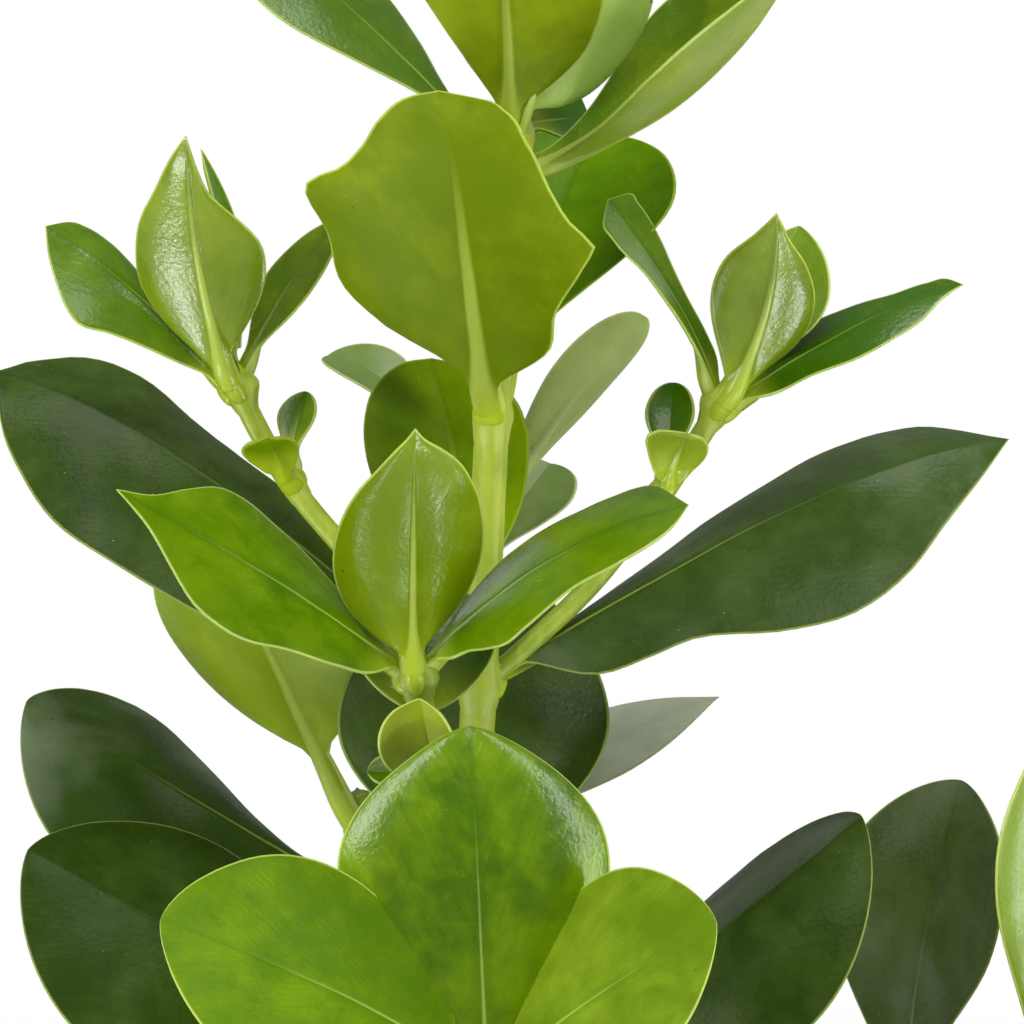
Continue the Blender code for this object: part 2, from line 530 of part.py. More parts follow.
clear_scene()
make_pot()
seats = {}
for stem_name, stem_branches in STEMS.items():
    make_stem(stem_name, stem_branches)
    seats[stem_name] = make_stem(stem_name, stem_branches, GAP)
make_soil(list(seats.values()))
for leaf_name, leaf_joint, leaf_tip, leaf_special in LEAVES:
    make_leaf(leaf_name, leaf_joint, leaf_tip, leaf_special, seats[stem_of(leaf_joint)])
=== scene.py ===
import json
import math

import bpy
import numpy as np
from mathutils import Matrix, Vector, noise

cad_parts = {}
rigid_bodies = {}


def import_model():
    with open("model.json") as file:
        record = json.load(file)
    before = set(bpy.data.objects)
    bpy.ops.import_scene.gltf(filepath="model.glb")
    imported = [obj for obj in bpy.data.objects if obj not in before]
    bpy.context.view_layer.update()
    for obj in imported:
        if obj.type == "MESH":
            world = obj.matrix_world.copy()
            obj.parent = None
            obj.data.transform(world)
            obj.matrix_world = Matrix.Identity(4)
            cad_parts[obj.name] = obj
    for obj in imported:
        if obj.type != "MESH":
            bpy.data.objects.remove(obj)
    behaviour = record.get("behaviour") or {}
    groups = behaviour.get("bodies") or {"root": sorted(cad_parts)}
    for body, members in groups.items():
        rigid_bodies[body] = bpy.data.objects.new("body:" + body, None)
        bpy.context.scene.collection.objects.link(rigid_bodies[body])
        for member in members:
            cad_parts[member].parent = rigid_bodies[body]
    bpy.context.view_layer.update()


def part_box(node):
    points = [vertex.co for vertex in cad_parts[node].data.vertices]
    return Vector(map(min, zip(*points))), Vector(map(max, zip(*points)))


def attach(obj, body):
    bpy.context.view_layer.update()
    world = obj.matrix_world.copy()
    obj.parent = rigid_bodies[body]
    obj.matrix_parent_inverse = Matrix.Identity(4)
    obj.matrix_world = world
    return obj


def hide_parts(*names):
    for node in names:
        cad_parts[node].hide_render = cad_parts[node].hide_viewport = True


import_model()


# Pot: a plain grower's pot, one thin shell of dark polypropylene moulded in one shot, with a turned-out
# rim band to lift it by, a rounded foot and round drain holes cut through its floor.

MM = .001


class Wire:
    """A socket. Sums and products of it add their own Math nodes."""

    def __init__(self, finish, socket):
        self.finish, self.socket = finish, socket

    def math(self, operation, *values):
        return self.finish.node("ShaderNodeMath", {"operation": operation}, values)

    def __add__(self, other):
        return self.math("ADD", self, other)

    def __sub__(self, other):
        return self.math("SUBTRACT", self, other)

    def __rsub__(self, other):
        return self.math("SUBTRACT", other, self)

    def __mul__(self, other):
        return self.math("MULTIPLY", self, other)

    __radd__ = __add__
    __rmul__ = __mul__


class Finish:
    """A material built node by node round one Principled shader."""

    def __init__(self, name, **steady):
        self.material = bpy.data.materials.new(name)
        self.material.use_nodes = True
        self.tree = self.material.node_tree
        self.shader = self.tree.nodes["Principled BSDF"]
        for socket, value in steady.items():
            self.shader.inputs[socket.replace("_", " ")].default_value = value

    def node(self, kind, settings, values, out=0):
        """Any node: its settings, its sockets' values or wires, and the output to read."""
        made = self.tree.nodes.new(kind)
        for key, value in settings.items():
            setattr(made, key, value)
        for key, value in values.items() if isinstance(values, dict) else enumerate(values):
            if isinstance(value, Wire):
                self.tree.links.new(value.socket, made.inputs[key])
            else:
                made.inputs[key].default_value = value
        return Wire(self, made.outputs[out])

    def place(self):
        """Where a point lies, in metres."""
        return self.node("ShaderNodeTexCoord", {}, {}, "Object")

    def measure(self, name):
        """A number noted for every point of the mesh."""
        return self.node("ShaderNodeAttribute", {"attribute_name": name}, {}, "Fac")

    def cloud(self, where, scale, detail=3.0, rough=.5, twist=0.0):
        """Soft random patches, from 0 to 1."""
        return self.node("ShaderNodeTexNoise", {}, {"Vector": where, "Scale": scale, "Detail": detail,
                         "Roughness": rough, "Distortion": twist}, "Fac")

    def stretched(self, where, x, y, z):
        return self.node("ShaderNodeMapping", {}, {"Vector": where, "Scale": (x, y, z)})

    def band(self, value, low, high):
        """0 below low, 1 above high, eased between. High below low runs the other way."""
        return self.node("ShaderNodeMapRange", {"interpolation_type": "SMOOTHSTEP"},
                         {"Value": value, "From Min": low, "From Max": high})

    def mix(self, share, first, second):
        """The first colour, with this share of the second."""
        return self.node("ShaderNodeMix", {"data_type": "RGBA"}, {0: share, 6: first, 7: second}, 2)

    def feed(self, **wires):
        for socket, wire in wires.items():
            self.tree.links.new(wire.socket, self.shader.inputs[socket.replace("_", " ")])

    def bump(self, height, millimetres, strength=1.0):
        self.feed(Normal=self.node("ShaderNodeBump", {}, {"Height": height, "Strength": strength,
                  "Distance": millimetres * MM}))


def deselect():
    if bpy.context.object and bpy.context.object.mode != "OBJECT":
        bpy.ops.object.mode_set(mode="OBJECT")
    bpy.ops.object.select_all(action="DESELECT")


def pick(piece):
    """Selects this piece alone."""
    deselect()
    piece.select_set(True)
    bpy.context.view_layer.objects.active = piece


def weld(piece, gap):
    """Merges points closer than this gap, and turns the faces outward."""
    pick(piece)
    bpy.ops.object.mode_set(mode="EDIT")
    bpy.ops.mesh.select_all(action="SELECT")
    bpy.ops.mesh.remove_doubles(threshold=gap)
    bpy.ops.mesh.normals_make_consistent(inside=False)
    bpy.ops.object.mode_set(mode="OBJECT")


def settle(piece, name, slot, *nodes):
    """Names a finished piece, puts it on the plant's body and lets it stand for its solid."""
    pick(piece)
    bpy.ops.object.transform_apply(location=True, rotation=True, scale=True)
    piece.name = piece.data.name = name
    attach(piece, "root")
    if nodes:
        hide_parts(*nodes)


def combine(piece, operation, other):
    """Cuts the other piece out of this one (DIFFERENCE) or melts it into it (UNION)."""
    step = piece.modifiers.new(operation.title(), "BOOLEAN")
    step.operation, step.solver, step.object = operation, "EXACT", other
    bpy.context.view_layer.objects.active = piece
    bpy.ops.object.modifier_apply(modifier=step.name)
    bpy.data.objects.remove(other, do_unlink=True)


# Radii of the pot's foot, of its wall below the band and of its rim, then heights and thicknesses, in metres
POT_FOOT, POT_SHOULDER, POT_RIM = .060, .079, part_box("pot")[1][0]
POT_TOP, POT_BAND, POT_WALL, POT_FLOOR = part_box("pot")[1][2], .020, .003, .0045
# The drain holes, the radius of their circle and of each hole, and the first one's angle in degrees
HOLES, HOLE_CIRCLE, HOLE_RADIUS, HOLE_TURN = 6, .04, .0045, 11
band_low = POT_TOP - POT_BAND
# The wall's section as (radius, height): up the outside, over the rim and down the inside
pot_profile = [
    (0, 0), (POT_FOOT - .004, 0), (POT_FOOT - .001, .0005), (POT_FOOT + .0005, .002),
    (POT_FOOT + (POT_SHOULDER - POT_FOOT) * .5, band_low * .5), (POT_SHOULDER - .0002, band_low - .0012),
    (POT_SHOULDER + .0006, band_low - .0002), (POT_RIM - .0016, band_low), (POT_RIM - .0004, band_low + .001),
    (POT_RIM - .0003, POT_TOP - .0042), (POT_RIM, POT_TOP - .0032), (POT_RIM, POT_TOP - .0012),
    (POT_RIM - .0008, POT_TOP - .0002), (POT_RIM - .0022, POT_TOP), (POT_RIM - .0028, POT_TOP - .0006),
    (POT_RIM - .0031, POT_TOP - .0016), (POT_RIM - .0038, band_low + .005),
    (POT_SHOULDER - .0028, band_low + .002), (POT_SHOULDER - .0032, band_low - .002),
    (POT_FOOT - .0012, POT_FLOOR + .003), (POT_FOOT - .004, POT_FLOOR), (0, POT_FLOOR)]
deselect()
bpy.ops.mesh.primitive_circle_add(vertices=len(pot_profile), fill_type="NOTHING")
pot = bpy.context.object
for corner, (radius, height) in zip(pot.data.vertices, pot_profile):
    corner.co = (radius, 0, height)
bpy.ops.object.mode_set(mode="EDIT")
bpy.ops.mesh.select_mode(type="EDGE")
bpy.ops.mesh.select_all(action="DESELECT")
bpy.ops.object.mode_set(mode="OBJECT")
for edge in pot.data.edges:
    edge.select = all(pot.data.vertices[k].co.x == 0 for k in edge.vertices)
bpy.ops.object.mode_set(mode="EDIT")
bpy.ops.mesh.delete(type="EDGE")
bpy.ops.mesh.select_all(action="SELECT")
bpy.ops.mesh.spin(steps=120, angle=2 * math.pi, center=(0, 0, 0), axis=(0, 0, 1))
weld(pot, 1e-6)
for k in range(HOLES):
    turn = 2 * math.pi * k / HOLES + math.radians(HOLE_TURN)
    bpy.ops.mesh.primitive_cylinder_add(vertices=32, radius=HOLE_RADIUS, depth=.02, location=(
        HOLE_CIRCLE * math.cos(turn), HOLE_CIRCLE * math.sin(turn), 0))
    combine(pot, "DIFFERENCE", bpy.context.object)
pick(pot)
bpy.ops.object.shade_smooth_by_angle(angle=math.radians(40))

plastic = Finish("dark_pot_plastic", Roughness=.5, Specular_IOR_Level=.4)
where = plastic.place()
scuffs = plastic.cloud(plastic.stretched(where, 1, 1, 14), 60, 5, .65)
dust = plastic.cloud(where, 35, 6, .7) * plastic.band(
    plastic.node("ShaderNodeSeparateXYZ", {}, [where], "Z"), .09, 0.0)
grain = plastic.cloud(where, 2600, 2)
worn = plastic.mix(scuffs, (.020, .022, .024, 1), (.036, .038, .041, 1))
plastic.feed(Base_Color=plastic.mix(plastic.band(dust, .3, .75), worn, (.11, .10, .085, 1)),
             Roughness=plastic.band(scuffs, .2, .9) * .22 + .40)
plastic.bump(grain + scuffs * .6, .05, .5)
pot.data.materials.append(plastic.material)
settle(pot, "grower_pot", "pot", "pot")


# Soil: peaty potting mix pressed down by hand and settled by watering. Its top is uneven and crumbly, with
# coarser lumps, bits of bark and a few white grains of perlite lying on it.

soil_low, soil_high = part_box("soil")
SOIL_EDGE = soil_high[0]
SOIL_FLOOR, SOIL_TOP = soil_low[2], soil_high[2] - .003
SOIL_FOOT = POT_FOOT + (POT_SHOULDER - POT_FOOT) * .035 - POT_WALL - .0004
# The grid that becomes the soil runs over its floor, up its side and over its top, up to these shares
FLOOR_END, SIDE_END = .12, .2


def soil_height(x, y):
    """Height of the soil's top: domed, with hollows, clods and crumbs."""
    edge = min(1, math.hypot(x, y) / SOIL_EDGE)
    clods = noise.noise(Vector((x, y, .3)) * 60) * .0016 + noise.noise(Vector((x, y, .7)) * 170) * .0011
    crumbs = noise.noise(Vector((x, y, .1)) * 480) * .0007
    return SOIL_TOP + .0020 * (1 - edge ** 2) + (clods + crumbs) * (1 - .5 * edge ** 6) - .0022 * edge ** 8


deselect()
bpy.ops.mesh.primitive_grid_add(x_subdivisions=160, y_subdivisions=44, size=2)
soil = bpy.context.object
for corner in soil.data.vertices:
    turn, share = math.pi * (corner.co.x + 1), (corner.co.y + 1) / 2
    if share < FLOOR_END:
        reach, height = SOIL_FOOT * share / FLOOR_END, SOIL_FLOOR
    elif share < SIDE_END:
        climb = (share - FLOOR_END) / (SIDE_END - FLOOR_END)
        reach = SOIL_FOOT + (SOIL_EDGE - SOIL_FOOT) * climb
        height = SOIL_FLOOR + (SOIL_TOP - .006 - SOIL_FLOOR) * climb
    else:
        reach, height = SOIL_EDGE * (1 - share) / (1 - SIDE_END), None
    x, y = reach * math.cos(turn), reach * math.sin(turn)
    corner.co = (x, y, soil_height(x, y) if height is None else height)
weld(soil, 2e-6)
bpy.ops.object.shade_smooth()

earth = Finish("potting_soil", Roughness=.95, Specular_IOR_Level=.15)
where = earth.place()
fibres = earth.cloud(earth.stretched(where, 1, 3, 1), 700, 4, .7, .6)
lumps = earth.cloud(where, 160, 5, .7)
dry = earth.cloud(where, 28, 3)
brown = earth.mix(lumps, (.016, .0095, .0055, 1), (.060, .036, .020, 1))
earth.feed(Base_Color=earth.mix(earth.band(dry + fibres, .9, 1.35), brown, (.115, .078, .045, 1)))
earth.bump(lumps + fibres * .5, 1.2)
soil.data.materials.append(earth.material)
settle(soil, "soil_fill", "soil", "soil")

bark = Finish("bark_crumb", Roughness=.9, Specular_IOR_Level=.2)
where = bark.place()
bark.feed(Base_Color=bark.mix(bark.cloud(where, 300, 4, .7), (.030, .017, .009, 1), (.15, .085, .042, 1)))
bark.bump(bark.cloud(where, 900, 3), .4)
perlite = Finish("perlite_grain", Roughness=.85, Specular_IOR_Level=.3)
where = perlite.place()
perlite.feed(Base_Color=perlite.mix(perlite.cloud(where, 700, 3), (.50, .48, .42, 1), (.80, .79, .75, 1)))
perlite.bump(perlite.cloud(where, 1500, 2), .3)

# Name, finish, how many, and their smallest and largest radius in millimetres
CRUMBS = [("bark_crumbs", bark, 260, .7, 2.6), ("perlite_grains", perlite, 46, .8, 1.8)]
chance = np.random.default_rng(7)
noise.seed_set(7)
for label, finish, count, small, large in CRUMBS:
    deselect()
    for _ in range(count):
        reach, turn = (SOIL_EDGE - .004) * math.sqrt(chance.random()), 2 * math.pi * chance.random()
        x, y = reach * math.cos(turn), reach * math.sin(turn)
        size = MM * (small + (large - small) * chance.random() ** 2)
        bpy.ops.mesh.primitive_ico_sphere_add(subdivisions=1, radius=size,
                                              location=(x, y, soil_height(x, y) + size * .25),
                                              rotation=tuple(chance.random(3) * 6))
        bpy.context.object.scale = tuple(.45 + .55 * chance.random(3))
    chips = [thing for thing in bpy.data.objects if thing.name.startswith("Icosphere")]
    deselect()
    for chip in chips:
        chip.select_set(True)
    bpy.context.view_layer.objects.active = chips[0]
    bpy.ops.object.join()
    heap = bpy.context.object
    bpy.ops.object.transform_apply(location=True, rotation=True, scale=True)
    for corner in heap.data.vertices:
        corner.co += noise.noise_vector(corner.co * 900) * .0003
    heap.data.materials.append(finish.material)
    settle(heap, label, "soil")


# Stems: three rooted cuttings of the same plant. Each is a round, fleshy, yellow-green shoot, swollen at each
# pair of leaves and woody grey-brown at the foot. Side shoots grow from the older joints.

# Joints that leaves grow from, in millimetres
JOINTS = {
    "tip3": (1, 0, 476), "tip2": (0, 0, 466), "tip1": (0, 0, 458),
    "upper": (-4, 0, 404), "middle": (-7, 0, 343), "lower": (-10, 0, 286), "low": (-13, 0, 237),
    "base": (-15, 1, 190),
    "front": (-21, -48, 359), "front_low": (-19, -46, 347), "front_foot": (-17, -40, 332),
    "back": (-5, 50, 368), "back_low": (-9, 48, 352),
    "left": (-62, 13, 407), "left_low": (-51, 12, 386),
    "right": (47, 9, 404), "right_low": (35, 9, 384),
    "sprig": (-5, -79, 279),
    "second": (-35, 45, 294), "second_mid": (-33, 45, 276), "second_low": (-28, 44, 205),
    "third": (92, 25, 215), "third_low": (72, 24, 176), "third_right": (122, 0, 232),
}
JOINTS = {name: np.array(place, float) for name, place in JOINTS.items()}

# Each plant's stems: the points they run through from root to tip, and their radius at root and tip
STEMS = {
    "stem_main": [
        ([(-17, 3, 100), (-15, 1, 190), (-13, 0, 237), (-10, 0, 294), (-7, 0, 343), (-4, 0, 404),
          (0, 0, 459), (1, 0, 481)], 4.8, 3.3),
        ([(-7, 0, 340), (-22, 5, 354), (-38, 9, 370), (-51, 12, 386), (-62, 13, 407), (-65, 13, 413)],
         2.2, 2.5),
        ([(-7, 0, 340), (4, 3, 349), (18, 7, 362), (34, 9, 383), (47, 9, 404), (50, 9, 410)], 2.2, 2.5),
        ([(-10, 0, 292), (-12, -22, 312), (-17, -40, 332), (-19, -46, 347), (-21, -48, 359),
          (-22, -49, 365)], 2.6, 3.0),
        ([(-10, 0, 292), (-9, 24, 310), (-8, 44, 334), (-9, 48, 352), (-5, 50, 368), (-4, 50, 373)],
         2.4, 2.3),
        ([(-14, 0, 220), (-11, -35, 230), (-8, -65, 250), (-5, -79, 279), (-4, -81, 285)], 3.0, 3.0),
    ],
    "stem_second": [
        ([(-22, 40, 100), (-27, 43, 190), (-28, 44, 205), (-33, 45, 276), (-35, 45, 294),
          (-36, 45, 301)], 3.8, 2.6),
    ],
    "stem_third": [
        ([(36, 22, 100), (54, 24, 140), (72, 24, 176), (92, 25, 215), (95, 25, 222)], 3.8, 2.8),
        ([(71, 24, 172), (92, 16, 196), (112, 6, 216), (122, 0, 232), (124, -1, 238)], 2.4, 2.6),
    ],
}
# Points round a stem, points along its measured path, and the distance of its rings in millimetres
STEM_COLUMNS, PATH_POINTS, RING_STEP = 28, 60, 1.1
# How near to a shoot its own joints lie, and how far from a joint it swells all round and toward one leaf
ON_SHOOT, JOINT_REACH, LEAF_REACH = 4, 22, 16


def along(points, count):
    """A smooth curve through these points, as this many points."""
    given = np.array(points, float)
    padded = np.vstack([2 * given[0] - given[1], given, 2 * given[-1] - given[-2]])
    place = np.linspace(0, len(given) - 1, count)
    start = np.minimum(place.astype(int), len(given) - 2)
    t = (place - start)[:, None]
    a, b, c, d = (padded[start + k] for k in range(4))
    return .5 * (2 * b + (c - a) * t + (2 * a - 5 * b + 4 * c - d) * t**2 + (3 * b - a - 3 * c + d) * t**3)


def unit(vector):
    return vector / np.linalg.norm(vector)


def eased(low, high, value):
    """0 at low, 1 at high, eased between. High below low runs the other way."""
    t = np.clip((value - low) / (high - low), 0, 1)
    return t * t * (3 - 2 * t)


def growth(joint):
    """Which way the stem runs at a joint, and its plain radius there."""
    best = (9.0, None, 3.0)
    for branches in STEMS.values():
        for points, thick, thin in branches:
            path = along(points, 20 * len(points))
            gap = np.linalg.norm(path - JOINTS[joint], axis=1)
            k = int(gap.argmin())
            if gap[k] < best[0]:
                ahead = unit(path[min(k + 2, len(path) - 1)] - path[max(k - 2, 0)])
                best = (gap[k], ahead, thick + (thin - thick) * k / (len(path) - 1))
    return best[1], best[2]


def girth(radius, s, facing):
    """Radius of a stem s above a joint: it swells there, and most on the side that faces a leaf (1)."""
    cushion = np.exp(-((s + 2.8) / 3.2) ** 2) * np.maximum(facing, 0) ** 1.3
    return radius * (1 + .09 * np.exp(-((s + 3) / 4.2) ** 2)) + cushion


def wrapped(columns, rows):
    """A grid to be bent into a closed tube: first and last column meet."""
    deselect()
    bpy.ops.mesh.primitive_grid_add(x_subdivisions=columns, y_subdivisions=rows, size=2)
    sheet = bpy.context.object
    spots = np.empty(len(sheet.data.vertices) * 3)
    sheet.data.vertices.foreach_get("co", spots)
    spots = spots.reshape(-1, 3)
    column = np.rint((spots[:, 0] + 1) / 2 * columns).astype(int) % columns
    row = np.rint((spots[:, 1] + 1) / 2 * rows).astype(int)
    return sheet, column, row


def bent(sheet, corners):
    """Bends a wrapped grid to these points in millimetres, and joins its seam and its ends."""
    sheet.data.vertices.foreach_set("co", (corners * MM).ravel())
    weld(sheet, 3e-6)
    bpy.ops.object.shade_smooth()
    return sheet


def note(piece, name, values):
    """Keeps a number for every point of a mesh, for its material to read."""
    kept = piece.data.attributes.new(name, "FLOAT", "POINT")
    kept.data.foreach_set("value", np.ascontiguousarray(values, np.float32))


def make_stem_tube(points, thick, thin, pulls):
    """One round shoot with swollen joints and a blunt growing tip. pulls lists (joint, leaf direction)."""
    length = np.linalg.norm(np.diff(along(points, PATH_POINTS), axis=0), axis=1).sum()
    rings = int(length / RING_STEP)
    path = along(points, rings + 1)
    sheet, column, row = wrapped(STEM_COLUMNS, rings + 2)
    corners = np.zeros((rings + 3, STEM_COLUMNS, 3))
    joint_share = np.zeros((rings + 3, STEM_COLUMNS))
    across = np.array([1.0, 0, 0])
    angle = 2 * math.pi * np.arange(STEM_COLUMNS) / STEM_COLUMNS
    for k, place in enumerate(path):
        ahead = unit(path[min(k + 1, rings)] - path[max(k - 1, 0)])
        across = unit(across - across.dot(ahead) * ahead)
        round_it = np.cos(angle)[:, None] * across + np.sin(angle)[:, None] * np.cross(ahead, across)
        radius = np.full(STEM_COLUMNS, thick + (thin - thick) * k / rings)
        plain = radius.copy()
        for joint in JOINTS.values():
            apart = place - joint
            if np.linalg.norm(apart) < JOINT_REACH:
                s = apart.dot(ahead)
                radius += girth(plain, s, 0) - plain
                # the old leaf scar: a fine groove with a ridge above it
                radius -= .16 * math.exp(-((s + 8.2) / .7) ** 2) - .10 * math.exp(-((s + 7.2) / .9) ** 2)
                joint_share[k + 1] = np.maximum(joint_share[k + 1], math.exp(-((s + 3) / 4.2) ** 2))
        for joint, outward in pulls:
            s = (place - joint).dot(ahead)
            if np.linalg.norm(place - joint) < LEAF_REACH:
                radius += girth(plain, s, round_it @ outward) - girth(plain, s, 0)
        radius *= (1 + .03 * np.sin(3 * angle + k * .02)) * (1 - .6 * eased(rings - 6, rings, k))
        if k > rings - 3:
            radius = radius * (.97, .86, .6)[k - rings + 2]
        corners[k + 1] = place + round_it * radius[:, None]
    corners[0], corners[-1] = path[0], path[-1] + unit(path[-1] - path[-2]) * .7
    note(sheet, "joint", joint_share[row, column])
    return bent(sheet, corners[row, column])


flesh = Finish("stem_flesh", Roughness=.42, Specular_IOR_Level=.45)
where = flesh.place()
height = flesh.node("ShaderNodeSeparateXYZ", {}, [where], "Z")
streak = flesh.cloud(flesh.stretched(where, 1, 1, .12), 420, 4, .6)
blotch = flesh.cloud(where, 70, 4, .6)
mottle = flesh.band(blotch * .6 + streak * .5, .35, .75)
green = flesh.mix(mottle, (.190, .285, .008, 1), (.390, .465, .040, 1))
paler = flesh.mix(flesh.measure("joint") * .55, green, (.360, .440, .036, 1))
# painted shade: below about 41 cm the stems turn a darker green, for the shade that falls on them under the
# leaves
painted_low_shade = flesh.mix(flesh.band(height, .41, .30) * .55, paler, (.120, .190, .008, 1))
cork = flesh.mix(streak, (.125, .090, .050, 1), (.300, .250, .160, 1))
woody = flesh.band(height + blotch * .06 + streak * .02, .225, .160)
flesh.feed(Base_Color=flesh.mix(woody, painted_low_shade, cork), Roughness=woody * .35 + blotch * .12 + .36)
flesh.bump(streak * (woody * 3 + .35) + flesh.cloud(where, 1500, 2) * .15, .18)


# Leaves: thick, leathery blades with a blunt end, a groove over the midrib above and a raised rib below,
# and a thin pale margin. Each sits on its joint with a flattened stalk whose foot runs down the stem.

# How every leaf is shaped unless its own row says otherwise. Lengths in millimetres, angles in degrees.
# width, widest, base, tip_end, lean: width, where it is widest, how slender toward the stalk and the tip, and
#   by which share the right half is broader. left and right take their place.
# rise, droop, sway: slope of the midrib at the stem and at the tip, and its bend sideways
# turn, fold, cup, cup_tip: roll of the leaf, slope of its halves at the midrib, and how far they curl up
# wave, waves, phase: height, number and start of the margin's ripples
# stalk, stalk_half, heel, clasp, facing: share of the length, half width, how far the foot runs down the stem
#   and round it, and the side it sits on
USUAL = dict(turn=0, width=40, widest=.6, base=.95, tip_end=.62, rise=12, droop=12, fold=4, cup=30,
             cup_tip=None, sway=0, stalk=.12, stalk_half=2.0, wave=0, waves=1.5, phase=0, lean=0, left=None,
             right=None, heel=5.5, clasp=62, facing=None)

